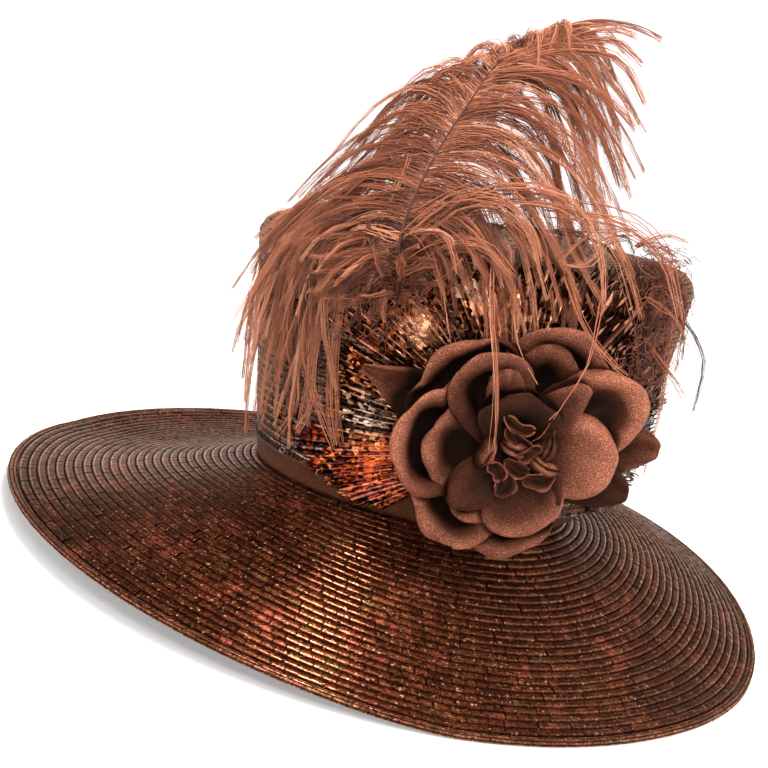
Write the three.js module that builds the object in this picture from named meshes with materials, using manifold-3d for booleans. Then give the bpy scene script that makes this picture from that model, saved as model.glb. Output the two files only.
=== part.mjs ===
// A wide-brimmed dress hat sewn from rows of foil straw braid, with a tall flared crown, a satin band,
// pleated foil fans, a large satin rose and three ostrich plumes on the crown's front right.
// Millimetres, +Z up. The origin is on the surface that the rim rests on, under the middle of the whole
// hat. Up to the last lines, the pieces are placed from the point under the middle of the head opening.
// The trimmed side faces -Y and +X is to the right of it. Azimuths are degrees from +X towards +Y.
import * as THREE from "three";
import { mergeVertices } from "three/addons/utils/BufferGeometryUtils.js";
import Module from "manifold-3d";

const wasm = await Module();
wasm.setup();

// Facets round the brim, the crown and every band
const AROUND = 50;
const GAP = 0.3;

// Head opening: an oval, longer from the wearer's forehead to the nape, that leans back and to the left
const HEAD_LENGTH = 191;
const HEAD_WIDTH = 173;
const HEAD_TURN = 42;
const NECK_HEIGHT = 49;
const LEAN_BACK = 5.3;
const LEAN_LEFT = 2.2;

// Brim: straw wall from the head opening out to the edge row
const BRAID = 2.0;
const BRIM_RINGS = 7;
const EDGE_WIDTH = 5.4;
const EDGE_HEIGHT = 3.4;
const EDGE_FLAT = 3.4;
const DROOP = 1.07;
const RIM_LIFT = 14;
const RIM_LIFT_TURN = 45;
const RIM_FLAT_SHARE = 0.5;
const RIM_SECTIONS = [
  { azimuth: 0, reach: 229, hump: 6 },
  { azimuth: 45, reach: 236, hump: 10 },
  { azimuth: 90, reach: 231, hump: -1 },
  { azimuth: 135, reach: 222, hump: -8 },
  { azimuth: 180, reach: 229, hump: -4 },
  { azimuth: 225, reach: 234, hump: 4 },
  { azimuth: 270, reach: 223, hump: 1 },
  { azimuth: 315, reach: 217, hump: -2 },
];

// Crown: wall heights above the head opening, the turned top edge and the flat tip
const COLLAR = 2.2;
const WALL_HEIGHTS = [0, 7, 14, 26, 42, 72, 104, 135];
const INNER_HEIGHTS = [0, 14, 26, 42, 88, 135];
const CORNER = 13;
const CORNER_STEPS = 3;
const TIP_SHARE = 0.55;
const TIP_RISE = 8;
// The crown grows taller by this share for each 100 mm towards +X
const TIP_SLANT = 0.065;
const BULGE_HEIGHT = 42;
const CROWN_SECTIONS = [
  { azimuth: 0, bulge: 30, flare: 9 },
  { azimuth: 45, bulge: 22, flare: 14 },
  { azimuth: 90, bulge: 10, flare: 16 },
  { azimuth: 135, bulge: 3, flare: 22 },
  { azimuth: 180, bulge: 2, flare: 27 },
  { azimuth: 225, bulge: 2, flare: 22 },
  { azimuth: 270, bulge: 8, flare: 13 },
  { azimuth: 315, bulge: 22, flare: 8 },
];

// Satin band round the foot of the crown, and the looped braid row that covers its upper edge
const BAND_FOOT = 1;
const BAND_TOP = 14.2;
const SATIN = 1.0;
const CORD_HEIGHT = 15.8;
const CORD_RADIUS = 1.1;

// Rose: nested bowls of satin petals on one axis that stands on the crown's wall
const ROSE_AZIMUTH = 293;
const ROSE_HEIGHT = 56;
const ROSE_FACING = 281;
const ROSE_STANDOFF = 6.3;
const PETAL = 1.1;
const PETAL_STEP = 1.5;
const PETAL_ROWS = 5;
const PETAL_COLUMNS = 4;
const PETAL_ROOT = -7;
const BOWL_RADIUS = 50;
const BOWL_FIRST = 2;
const BOWL_LAST = 13;
const HEART = { x: 2, y: 3, width: 40, height: 36, depth: 14, front: 29.1 };

// Petals from the back of the rose to the front: where each points, how far it reaches and its width
const PETALS = [
  { name: "petal_back_left", points: 164, reach: 88, width: 40 },
  { name: "petal_tail", points: 12, reach: 82, width: 36 },
  { name: "petal_low_right", points: -10, reach: 71, width: 34 },
  { name: "petal_top", points: 74, reach: 72, width: 54 },
  { name: "petal_upper_left", points: 138, reach: 67, width: 62 },
  { name: "petal_upper_right", points: 36, reach: 76, width: 50 },
  { name: "petal_bottom", points: 276, reach: 58, width: 56 },
  { name: "petal_lower_left", points: 235, reach: 62, width: 50 },
  { name: "petal_left", points: 184, reach: 66, width: 58 },
  { name: "petal_upper_mid", points: 124, reach: 58, width: 46 },
  { name: "petal_right", points: 6, reach: 56, width: 46 },
  { name: "petal_front", points: 294, reach: 47, width: 46 },
  { name: "petal_fold", points: 58, reach: 52, width: 26 },
  { name: "petal_inner_left", points: 232, reach: 42, width: 26 },
  { name: "petal_inner_top", points: 98, reach: 34, width: 44 },
];

// Foil fans: pleated sectors on the crown's wall round one axis, with angles from straight right
const FAN_AZIMUTH = 296;
const FAN_HEIGHT = 56;
const FOIL = 0.8;
const FAN_INNER = 15;
const FAN_STEPS = 4;
const PLEATS = 5;
const PLEAT_DEPTH = 1.0;
const FAN_LIFT = 2.4;
const FAN_LIFT_LOW = 4.3;
const FANS = [
  { name: "fan_low_left", from: 187.5, to: 221, reach_from: 143, reach_to: 82, lift: FAN_LIFT_LOW },
  { name: "fan_left", from: 160, to: 186, reach_from: 107, reach_to: 106, lift: FAN_LIFT },
  { name: "fan_upper_left", from: 129, to: 158.5, reach_from: 100, reach_to: 122, lift: FAN_LIFT },
  { name: "fan_top", from: 84, to: 127.5, reach_from: 93, reach_to: 98, lift: FAN_LIFT },
  { name: "fan_upper_right", from: 42, to: 82.5, reach_from: 100, reach_to: 94, lift: FAN_LIFT },
  { name: "fan_right", from: 3, to: 40.5, reach_from: 112, reach_to: 88, lift: FAN_LIFT },
  { name: "fan_low_right", from: -27, to: 2.5, reach_from: 84, reach_to: 106, lift: FAN_LIFT_LOW },
];

// Plumes: each quill's line from its foot to its tip, and the locks that leave it on both sides
const QUILL_RADIUS = 1.4;
const QUILL_LIFT = 5.3;
const QUILL_STEPS = 9;
const LOCK_STEPS = 5;
// A lock starts this share of its length before the quill's line, so that the two grow together
const LOCK_ROOT = 0.05;
const LOCK_THICK = 0.24;
const NEAR_CROWN = 18;
const PLUMES = [
  {
    name: "plume_main",
    lift: 14,
    slack: 200,
    quill: [
      { x: -28, y: -111, z: 116 },
      { x: -36, y: -112, z: 150 },
      { x: -32, y: -98, z: 184 },
      { x: -21, y: -82, z: 220 },
      { x: -7, y: -70, z: 252 },
      { x: 20, y: -62, z: 274 },
    ],
    locks: [
      { at: 0.3, left: 66, right: 72, spread: 78, droop: 16, width: 22 },
      { at: 0.44, left: 56, right: 112, spread: 72, droop: 50, width: 22 },
      { at: 0.58, left: 64, right: 108, spread: 64, droop: 50, width: 21 },
      { at: 0.72, left: 38, right: 92, spread: 60, droop: 40, width: 19 },
      { at: 0.86, left: 18, right: 76, spread: 52, droop: 26, width: 15 },
      { at: 0.95, left: 0, right: 62, spread: 20, droop: 16, width: 13 },
    ],
  },
  {
    name: "plume_left",
    lift: 10,
    slack: 3,
    quill: [
      { x: -41, y: -106, z: 110 },
      { x: -50, y: -102, z: 140 },
      { x: -66, y: -93, z: 151 },
      { x: -84, y: -79, z: 142 },
      { x: -95, y: -66, z: 118 },
    ],
    locks: [
      { at: 0.34, left: 92, right: 0, spread: 96, droop: 20, width: 22 },
      { at: 0.54, left: 98, right: 26, spread: 78, droop: 22, width: 22 },
      { at: 0.76, left: 92, right: 0, spread: 52, droop: 24, width: 21 },
      { at: 0.93, left: 76, right: 0, spread: 20, droop: 20, width: 19 },
    ],
  },
  {
    name: "plume_right",
    lift: 13,
    slack: 5,
    quill: [
      { x: -19, y: -113, z: 118 },
      { x: -14, y: -113, z: 146 },
      { x: -2, y: -102, z: 166 },
      { x: 20, y: -98, z: 172 },
      { x: 52, y: -86, z: 172 },
      { x: 88, y: -66, z: 160 },
      { x: 106, y: -48, z: 140 },
    ],
    locks: [
      { at: 0.42, left: 22, right: 24, spread: 60, droop: 2, width: 16 },
      { at: 0.6, left: 28, right: 44, spread: 58, droop: 18, width: 19 },
      { at: 0.78, left: 34, right: 62, spread: 48, droop: 34, width: 19 },
      { at: 0.93, left: 30, right: 58, spread: 22, droop: 28, width: 17 },
    ],
  },
];

// Colours of the materials
const STRAW = { color: 0x5a3626, roughness: 0.35, metalness: 0.6 };
const EDGE = { color: 0x4a2a20, roughness: 0.35, metalness: 0.6 };
const RIBBON = { color: 0x7a4a34, roughness: 0.45, metalness: 0.1 };
const CORD = { color: 0x2e1a14, roughness: 0.5, metalness: 0.3 };
const FOIL_COPPER = { color: 0x9a4a22, roughness: 0.22, metalness: 0.9 };
const SATIN_BROWN = { color: 0x6e4335, roughness: 0.5, metalness: 0.0 };
const FEATHER = { color: 0xa5664f, roughness: 0.8, metalness: 0.0 };

const radians = THREE.MathUtils.degToRad;

// A smooth closed curve through one column of a table of evenly spaced azimuths
function around(table, column, azimuth) {
  const count = table.length;
  const turn = ((((azimuth % 360) + 360) % 360) / 360) * count;
  const row = Math.floor(turn);
  const share = turn - row;
  const value = (step) => table[(row + step + count) % count][column];
  const slopeIn = (value(1) - value(-1)) / 2;
  const slopeOut = (value(2) - value(0)) / 2;
  const rise = value(1) - value(0);
  const squared = 3 * rise - 2 * slopeIn - slopeOut;
  const cubed = slopeIn + slopeOut - 2 * rise;
  return value(0) + share * (slopeIn + share * (squared + share * cubed));
}

function atAzimuth(azimuth, radius, height) {
  const angle = radians(azimuth);
  return new THREE.Vector3(radius * Math.cos(angle), radius * Math.sin(angle), height);
}

function azimuths() {
  return Array.from({ length: AROUND }, (_, step) => (360 * step) / AROUND);
}

// The solid whose surface runs through a row of closed loops, with each loop counterclockwise when it
// is seen from where the row comes from. Two poles close the ends, and without them it closes on itself.
function loft(loops, poles) {
  const corners = loops[0].length;
  const points = loops.flat();
  const faces = [];
  const last = poles ? loops.length - 1 : loops.length;
  for (let row = 0; row < last; row += 1) {
    const here = row * corners;
    const next = ((row + 1) % loops.length) * corners;
    for (let corner = 0; corner < corners; corner += 1) {
      const beside = (corner + 1) % corners;
      faces.push([here + corner, next + corner, next + beside]);
      faces.push([here + corner, next + beside, here + beside]);
    }
  }
  if (poles) {
    const start = points.push(poles[0]) - 1;
    const end = points.push(poles[1]) - 1;
    const final = (loops.length - 1) * corners;
    for (let corner = 0; corner < corners; corner += 1) {
      const beside = (corner + 1) % corners;
      faces.push([start, corner, beside]);
      faces.push([end, final + beside, final + corner]);
    }
  }
  return solid(points, faces);
}

// A closed body from its points and triangles, turned so that its faces point out
function solid(points, faces) {
  let volume = 0;
  for (const [a, b, c] of faces) {
    volume += points[a].dot(new THREE.Vector3().crossVectors(points[b], points[c]));
  }
  const turned = volume > 0 ? faces : faces.map(([a, b, c]) => [a, c, b]);
  const geometry = new THREE.BufferGeometry();
  geometry.setAttribute("position", new THREE.Float32BufferAttribute(points.flatMap((point) => point.toArray()), 3));
  geometry.setIndex(turned.flat());
  return geometry;
}

// A thin body between two grids of points, front and back, with `across` steps in each row
function slab(front, back, along, across) {
  const points = [...front, ...back];
  const width = across + 1;
  const layer = front.length;
  const faces = [];
  const quad = (a, b, c, d) => faces.push([a, b, c], [a, c, d]);
  for (let row = 0; row < along; row += 1) {
    for (let column = 0; column < across; column += 1) {
      const here = row * width + column;
      quad(here, here + 1, here + width + 1, here + width);
      quad(layer + here, layer + here + width, layer + here + width + 1, layer + here + 1);
    }
  }
  for (let row = 0; row < along; row += 1) {
    const left = row * width;
    const right = left + across;
    quad(left, left + width, layer + left + width, layer + left);
    quad(right + width, right, layer + right, layer + right + width);
  }
  for (let column = 0; column < across; column += 1) {
    const far = along * width + column;
    quad(column + 1, column, layer + column, layer + column + 1);
    quad(far, far + 1, layer + far + 1, layer + far);
  }
  return solid(points, faces);
}

// The slab on a surface that two shares from 0 to 1 give, with the outward direction at each point
function sheet(surface, outward, thickness, along, across) {
  const grid = (offset) => {
    const points = [];
    for (let row = 0; row <= along; row += 1) {
      for (let column = 0; column <= across; column += 1) {
        const u = row / along;
        const v = column / across;
        points.push(surface(u, v).addScaledVector(outward(u, v), offset));
      }
    }
    return points;
  };
  return slab(grid(thickness / 2), grid(-thickness / 2), along, across);
}

// Joins closed geometries into one body, and fills the small hollows that they shut in
function fuse(geometries) {
  const solids = geometries.map((geometry) => {
    const bare = new THREE.BufferGeometry();
    bare.setAttribute("position", geometry.getAttribute("position"));
    bare.setIndex(geometry.getIndex());
    const merged = mergeVertices(bare);
    const vertProperties = new Float32Array(merged.getAttribute("position").array);
    const triVerts = new Uint32Array(merged.getIndex().array);
    return new wasm.Manifold(new wasm.Mesh({ numProp: 3, vertProperties, triVerts }));
  });
  const shells = solids.reduce((sum, next) => sum.add(next)).decompose();
  const whole = shells.reduce((most, next) => (next.volume() > most.volume() ? next : most)).getMesh();
  const geometry = new THREE.BufferGeometry();
  geometry.setAttribute("position", new THREE.Float32BufferAttribute(whole.vertProperties, 3));
  geometry.setIndex(Array.from(whole.triVerts));
  return geometry;
}

function piece(name, geometry, look) {
  const mesh = new THREE.Mesh(geometry, new THREE.MeshStandardMaterial({ ...look, flatShading: true }));
  mesh.name = name;
  return mesh;
}

// Crown, in its own leaning frame with the head opening at height 0
function headRadius(azimuth) {
  const angle = radians(azimuth - HEAD_TURN);
  const long = HEAD_LENGTH / 2;
  const short = HEAD_WIDTH / 2;
  return (long * short) / Math.hypot(short * Math.cos(angle), long * Math.sin(angle));
}

function crownRadius(azimuth, height) {
  const top = WALL_HEIGHTS[WALL_HEIGHTS.length - 1];
  const above = Math.max(height, 0);
  const share = Math.min(above / BULGE_HEIGHT, 1);
  const bulge = around(CROWN_SECTIONS, "bulge", azimuth) * Math.sin((share * Math.PI) / 2);
  return headRadius(azimuth) + bulge + (around(CROWN_SECTIONS, "flare", azimuth) * above) / top;
}

function onCrown(azimuth, radius, height) {
  const point = atAzimuth(azimuth, radius, height);
  point.z *= 1 + (TIP_SLANT * point.x) / 100;
  return point;
}

function crownWall(azimuth, height, lift) {
  return onCrown(azimuth, crownRadius(azimuth, height) + lift, height);
}

// Loops from the tip down to the foot, `depth` inside the outer face
function crownLoops(heights, depth) {
  const top = WALL_HEIGHTS[WALL_HEIGHTS.length - 1];
  const loops = [];
  const loop = (radiusAt, height) => {
    loops.push(azimuths().map((azimuth) => onCrown(azimuth, radiusAt(azimuth), height)));
  };
  const tipHeight = top + CORNER - depth + TIP_RISE * (1 - TIP_SHARE * TIP_SHARE);
  loop((azimuth) => (crownRadius(azimuth, top) - CORNER) * TIP_SHARE, tipHeight);
  for (let step = CORNER_STEPS; step > 0; step -= 1) {
    const turn = ((Math.PI / 2) * step) / CORNER_STEPS;
    const inset = CORNER - (CORNER - depth) * Math.cos(turn);
    loop((azimuth) => crownRadius(azimuth, top) - inset, top + (CORNER - depth) * Math.sin(turn));
  }
  for (const height of [...heights].reverse()) {
    loop((azimuth) => crownRadius(azimuth, height) - depth, height);
  }
  loop((azimuth) => headRadius(azimuth) - depth, -COLLAR);
  return loops;
}

function crown() {
  const apex = WALL_HEIGHTS[WALL_HEIGHTS.length - 1] + CORNER + TIP_RISE;
  const outer = crownLoops(WALL_HEIGHTS, 0);
  const inner = crownLoops(INNER_HEIGHTS, BRAID).reverse();
  const poles = [new THREE.Vector3(0, 0, apex), new THREE.Vector3(0, 0, apex - BRAID)];
  return loft([...outer, ...inner], poles);
}

// A band on the crown's wall between two heights, or a cord where its corners are given
function ringOnCrown(corners) {
  return loft(corners.map(({ lift, height }) => azimuths().map((azimuth) => crownWall(azimuth, height, lift))));
}

function ribbonBand() {
  return ringOnCrown([
    { lift: GAP, height: BAND_TOP },
    { lift: GAP + SATIN, height: BAND_TOP },
    { lift: GAP + SATIN, height: WALL_HEIGHTS[1] },
    { lift: GAP + SATIN, height: BAND_FOOT },
    { lift: GAP, height: BAND_FOOT },
    { lift: GAP, height: WALL_HEIGHTS[1] },
  ]);
}

function bandCord() {
  return ringOnCrown([
    { lift: GAP + CORD_RADIUS, height: CORD_HEIGHT + CORD_RADIUS },
    { lift: GAP + 2 * CORD_RADIUS, height: CORD_HEIGHT },
    { lift: GAP + CORD_RADIUS, height: CORD_HEIGHT - CORD_RADIUS },
    { lift: GAP, height: CORD_HEIGHT },
  ]);
}

// Brim, from the leaning head opening to a rim that rests flat on its two low sides
function rimLift(azimuth) {
  const wave = Math.cos(2 * radians(azimuth - RIM_LIFT_TURN));
  return (RIM_LIFT * Math.max(0, wave + RIM_FLAT_SHARE)) / (1 + RIM_FLAT_SHARE);
}

function brimPoint(azimuth, share, frame) {
  const neck = frame.localToWorld(atAzimuth(azimuth, headRadius(azimuth) + GAP, 0));
  const edge = around(RIM_SECTIONS, "reach", azimuth) - EDGE_WIDTH - GAP;
  const rim = atAzimuth(azimuth, edge, rimLift(azimuth) + EDGE_HEIGHT);
  const fall = 1 - DROOP * share + (DROOP - 1) * share ** 6;
  const hump = around(RIM_SECTIONS, "hump", azimuth) * 4 * share * (1 - share);
  const point = neck.clone().lerp(rim, share * (0.92 + 0.08 * share));
  point.z = rim.z + (neck.z - rim.z) * fall + hump;
  return point;
}

function brim(frame) {
  const shares = Array.from({ length: BRIM_RINGS }, (_, ring) => ring / (BRIM_RINGS - 1));
  const loopAt = (share, depth) =>
    azimuths().map((azimuth) => brimPoint(azimuth, share, frame).add(new THREE.Vector3(0, 0, -depth)));
  const top = shares.map((share) => loopAt(share, 0));
  const bottom = shares.map((share) => loopAt(share, BRAID)).reverse();
  return loft([...top, ...bottom]);
}

function edgeRow() {
  const corners = [
    { inset: EDGE_WIDTH, height: EDGE_HEIGHT - 0.6 },
    { inset: EDGE_WIDTH / 2, height: EDGE_HEIGHT },
    { inset: 0, height: EDGE_HEIGHT / 2 },
    { inset: (EDGE_WIDTH - EDGE_FLAT) / 2, height: 0 },
    { inset: (EDGE_WIDTH + EDGE_FLAT) / 2, height: 0 },
  ];
  const reach = (azimuth) => around(RIM_SECTIONS, "reach", azimuth);
  return loft(
    corners.map(({ inset, height }) =>
      azimuths().map((azimuth) => atAzimuth(azimuth, reach(azimuth) - inset, rimLift(azimuth) + height)),
    ),
  );
}

// Foil fans, laid on the crown's wall by distance along it from the axis
function fan({ from, to, reach_from: reachFrom, reach_to: reachTo, lift }) {
  const wallRadius = crownRadius(FAN_AZIMUTH, FAN_HEIGHT);
  const surface = (u, v) => {
    const angle = radians(THREE.MathUtils.lerp(from, to, v));
    const reach = THREE.MathUtils.lerp(reachFrom, reachTo, v);
    const away = THREE.MathUtils.lerp(FAN_INNER, reach, u);
    const turn = THREE.MathUtils.radToDeg((away * Math.cos(angle)) / wallRadius);
    const fold = Math.round(v * PLEATS * 2) % 2 ? PLEAT_DEPTH : -PLEAT_DEPTH;
    return crownWall(FAN_AZIMUTH + turn, FAN_HEIGHT + away * Math.sin(angle), lift + fold * (0.4 + 0.6 * u));
  };
  const outward = (u, v) => surface(u, v).setZ(0).normalize();
  return sheet(surface, outward, FOIL, FAN_STEPS, PLEATS * 2);
}

// Rose, in a frame of its own with +Z along its axis, away from the crown
function petal({ points: bearing, reach, width }, order) {
  const deep = THREE.MathUtils.lerp(BOWL_FIRST, BOWL_LAST, order / (PETALS.length - 1));
  const direction = radians(bearing);
  const surface = (u, v) => {
    const away = THREE.MathUtils.lerp(PETAL_ROOT, reach, u);
    const half = (width / 2) * Math.sin(Math.PI * (0.08 + 0.84 * u ** 1.4));
    const side = half * (2 * v - 1);
    const x = away * Math.cos(direction) - side * Math.sin(direction);
    const y = away * Math.sin(direction) + side * Math.cos(direction);
    return new THREE.Vector3(x, y, order * PETAL_STEP + deep * (Math.hypot(x, y) / BOWL_RADIUS) ** 2);
  };
  return sheet(surface, () => new THREE.Vector3(0, 0, 1), PETAL, PETAL_ROWS, PETAL_COLUMNS);
}

function heart() {
  const geometry = new THREE.SphereGeometry(0.5, 10, 7);
  geometry.scale(HEART.width, HEART.height, HEART.depth);
  geometry.translate(HEART.x, HEART.y, HEART.front);
  geometry.deleteAttribute("normal");
  geometry.deleteAttribute("uv");
  return mergeVertices(geometry);
}

function rose() {
  const group = new THREE.Group();
  const seat = crownWall(ROSE_AZIMUTH, ROSE_HEIGHT, ROSE_STANDOFF);
  const outward = atAzimuth(ROSE_FACING, 1, 0);
  const right = new THREE.Vector3(0, 0, 1).cross(outward);
  group.setRotationFromMatrix(new THREE.Matrix4().makeBasis(right, new THREE.Vector3(0, 0, 1), outward));
  group.position.copy(seat);
  PETALS.forEach((row, order) => group.add(piece(row.name, petal(row, order), SATIN_BROWN)));
  group.add(piece("rose_heart", heart(), SATIN_BROWN));
  return group;
}

// How a point lies to the crown's rounded outline: the centre and the direction that its clearance is
// measured from, in the crown's upright section at the point's azimuth
function offCrown(point) {
  const top = WALL_HEIGHTS[WALL_HEIGHTS.length - 1];
  const azimuth = THREE.MathUtils.radToDeg(Math.atan2(point.y, point.x));
  const slant = 1 + (TIP_SLANT * point.x) / 100;
  const height = point.z / slant;
  const radius = Math.hypot(point.x, point.y);
  const flat = crownRadius(azimuth, top) - CORNER;
  let base = { radius: crownRadius(azimuth, height) - CORNER, height };
  let tilt = 0;
  if (height > top && radius > flat) {
    base = { radius: flat, height: top };
    tilt = Math.atan2(height - top, radius - flat);
  } else if (height > top) {
    base = { radius, height: top + TIP_RISE * (1 - (radius / flat) ** 2) };
    tilt = Math.PI / 2;
  }
  const out = Math.cos(tilt);
  const up = Math.sin(tilt);
  const clear = (radius - base.radius) * out + (height - base.height) * up - CORNER;
  return { azimuth, slant, base, out, up, clear };
}

// The point moved straight off the crown, or back to it, until it is `lift` to `lift + slack` clear of it
function besideCrown(point, lift, slack) {
  const { azimuth, slant, base, out, up, clear } = offCrown(point);
  const kept = CORNER + THREE.MathUtils.clamp(clear, lift, lift + slack);
  return atAzimuth(azimuth, base.radius + kept * out, (base.height + kept * up) * slant);
}

// The way that a feather's flat side faces: off the crown close to it, and level higher up
function facing(point) {
  const { azimuth, out, up, clear } = offCrown(point);
  const near = 1 - THREE.MathUtils.smoothstep(clear, NEAR_CROWN, 2 * NEAR_CROWN);
  return atAzimuth(azimuth, 1 - near + near * out, near * up).normalize();
}

function blade(curve, width, thickness, steps) {
  const loops = [];
  for (let step = 0; step <= steps; step += 1) {
    const share = step / steps;
    const centre = curve(share * 0.94 + 0.03);
    const along = curve(Math.min(share + 0.05, 1)).sub(curve(Math.max(share - 0.05, 0))).normalize();
    const across = new THREE.Vector3().crossVectors(along, facing(centre)).normalize();
    const flat = new THREE.Vector3().crossVectors(across, along).normalize();
    const swell = 0.3 + 0.7 * Math.sin(Math.PI * (0.2 + 0.66 * share));
    loops.push([
      centre.clone().addScaledVector(across, (width / 2) * swell),
      centre.clone().addScaledVector(flat, (-thickness / 2) * swell),
      centre.clone().addScaledVector(across, (-width / 2) * swell),
      centre.clone().addScaledVector(flat, (thickness / 2) * swell),
    ]);
  }
  return loft(loops, [curve(0), curve(1)]);
}

function plume({ quill, locks, lift, slack }) {
  const line = new THREE.CatmullRomCurve3(quill.map(({ x, y, z }) => new THREE.Vector3(x, y, z)));
  const stem = (share) => besideCrown(line.getPoint(share), QUILL_LIFT, slack);
  const parts = [blade(stem, QUILL_RADIUS * 2.6, QUILL_RADIUS * 2, QUILL_STEPS)];
  for (const { at, left, right, spread, droop, width } of locks) {
    const foot = stem(at);
    const tangent = line.getTangent(at);
    const aside = new THREE.Vector3().crossVectors(facing(foot), tangent).normalize();
    for (const [length, side] of [[left, 1], [right, -1]]) {
      if (length > 0) {
        const angle = radians(spread) * side;
        const start = tangent.clone().multiplyScalar(Math.cos(angle)).addScaledVector(aside, Math.sin(angle));
        const curve = (share) => {
          const point = foot.clone().addScaledVector(start, length * (share - LOCK_ROOT));
          point.z -= droop * share * share;
          return besideCrown(point, THREE.MathUtils.lerp(QUILL_LIFT, lift, Math.min(share * 4, 1)), slack);
        };
        parts.push(blade(curve, width, width * LOCK_THICK, LOCK_STEPS));
      }
    }
  }
  return fuse(parts);
}

const hat = new THREE.Group();
const crownFrame = new THREE.Group();
crownFrame.position.set(0, 0, NECK_HEIGHT);
crownFrame.rotation.set(radians(-LEAN_BACK), radians(-LEAN_LEFT), 0);
crownFrame.updateMatrixWorld(true);

hat.add(piece("brim", brim(crownFrame), STRAW));
hat.add(piece("edge_row", edgeRow(), EDGE));
hat.add(crownFrame);
crownFrame.add(piece("crown", crown(), STRAW));
crownFrame.add(piece("ribbon_band", ribbonBand(), RIBBON));
crownFrame.add(piece("band_cord", bandCord(), CORD));
FANS.forEach((row) => crownFrame.add(piece(row.name, fan(row), FOIL_COPPER)));
crownFrame.add(rose());
PLUMES.forEach((row) => crownFrame.add(piece(row.name, plume(row), FEATHER)));

const middle = new THREE.Box3().setFromObject(hat, true).getCenter(new THREE.Vector3()).setZ(0);
hat.children.forEach((part) => part.position.sub(middle));

export default hat;
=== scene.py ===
import math
from functools import partialmethod

import bpy
import numpy as np
from mathutils import Matrix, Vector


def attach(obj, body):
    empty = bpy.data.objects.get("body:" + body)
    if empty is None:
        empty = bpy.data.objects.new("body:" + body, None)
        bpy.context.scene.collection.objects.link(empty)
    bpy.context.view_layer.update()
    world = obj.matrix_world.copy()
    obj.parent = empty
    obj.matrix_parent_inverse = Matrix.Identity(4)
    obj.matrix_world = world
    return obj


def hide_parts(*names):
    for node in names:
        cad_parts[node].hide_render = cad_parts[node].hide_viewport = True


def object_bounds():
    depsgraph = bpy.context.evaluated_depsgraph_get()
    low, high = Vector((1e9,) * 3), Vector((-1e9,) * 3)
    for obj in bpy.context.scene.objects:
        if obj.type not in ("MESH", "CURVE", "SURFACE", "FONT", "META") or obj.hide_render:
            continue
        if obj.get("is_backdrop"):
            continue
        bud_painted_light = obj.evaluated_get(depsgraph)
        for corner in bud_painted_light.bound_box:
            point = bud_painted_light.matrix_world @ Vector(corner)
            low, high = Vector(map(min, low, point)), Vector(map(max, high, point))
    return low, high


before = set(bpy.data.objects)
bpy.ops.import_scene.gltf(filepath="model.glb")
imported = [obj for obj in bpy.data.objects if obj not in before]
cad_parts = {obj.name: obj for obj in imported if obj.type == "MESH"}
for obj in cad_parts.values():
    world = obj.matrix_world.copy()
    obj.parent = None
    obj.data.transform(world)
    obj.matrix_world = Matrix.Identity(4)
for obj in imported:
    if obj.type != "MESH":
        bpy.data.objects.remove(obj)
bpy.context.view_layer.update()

# Brim. One long strip of foil straw braid, sewn round and round from the head opening to the rim. Its
# wall is cut to the brim's droop and ripple, and short cells of braid stand on it in rows.
# Sizes are in millimetres and degrees. The tuples of eight go round the hat from +x, 45 degrees apart.
MM = 0.001
CENTRE_Y = -3.8988
NECK_HEIGHT = 49
HEAD_LENGTH, HEAD_WIDTH, HEAD_TURN = 191, 173, 42
LEAN_BACK, LEAN_LEFT = 5.3, 2.2
GAP = 0.3
EDGE_WIDTH, EDGE_HEIGHT = 5.4, 3.4
DROOP = 1.07
RIM_LIFT, RIM_LIFT_TURN, RIM_FLAT_SHARE = 14, 45, 0.5
RIM_REACH = (229, 236, 231, 222, 229, 234, 223, 217)
BRIM_HUMP = (6, 10, -1, -8, -4, 4, 1, -2)
BRIM_ROWS = 28
WALL = 2.0
CELL_LENGTH, CELL_HEIGHT = 7.0, 1.7
# How far the wall and the cells' feet lie below the solid's face, and the azimuth where the cells start
BRIM_BED, BRIM_SEAT = 0.9, 0.95
FRONT = 268


def around(column, azimuth):
    """A smooth closed curve through values at evenly spaced azimuths."""
    values = np.array(column, float)
    turn = np.mod(azimuth, 360) / 360 * len(values)
    row = np.floor(turn).astype(int)
    share = turn - row
    before, here, after, beyond = (values[(row + step) % len(values)] for step in (-1, 0, 1, 2))
    slope_in, slope_out, rise = (after - before) / 2, (beyond - here) / 2, after - here
    squared = 3 * rise - 2 * slope_in - slope_out
    cubed = slope_in + slope_out - 2 * rise
    return here + share * (slope_in + share * (squared + share * cubed))


def polar(azimuth, radius, height):
    angle = np.radians(azimuth)
    return np.stack(np.broadcast_arrays(radius * np.cos(angle), radius * np.sin(angle), height), -1)


lean = np.array(Matrix.Rotation(math.radians(-LEAN_BACK), 3, "X") @ Matrix.Rotation(math.radians(-LEAN_LEFT), 3, "Y"))


def from_crown(points):
    """Points of the crown's leaning frame, in millimetres, as points of the hat's frame in metres."""
    return (points @ lean.T + (0, CENTRE_Y, NECK_HEIGHT)) * MM


def head_radius(azimuth):
    angle = np.radians(azimuth - HEAD_TURN)
    long, short = HEAD_LENGTH / 2, HEAD_WIDTH / 2
    return long * short / np.hypot(short * np.cos(angle), long * np.sin(angle))


def rim_lift(azimuth):
    wave = np.cos(2 * np.radians(azimuth - RIM_LIFT_TURN))
    return RIM_LIFT * np.maximum(0, wave + RIM_FLAT_SHARE) / (1 + RIM_FLAT_SHARE)


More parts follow.
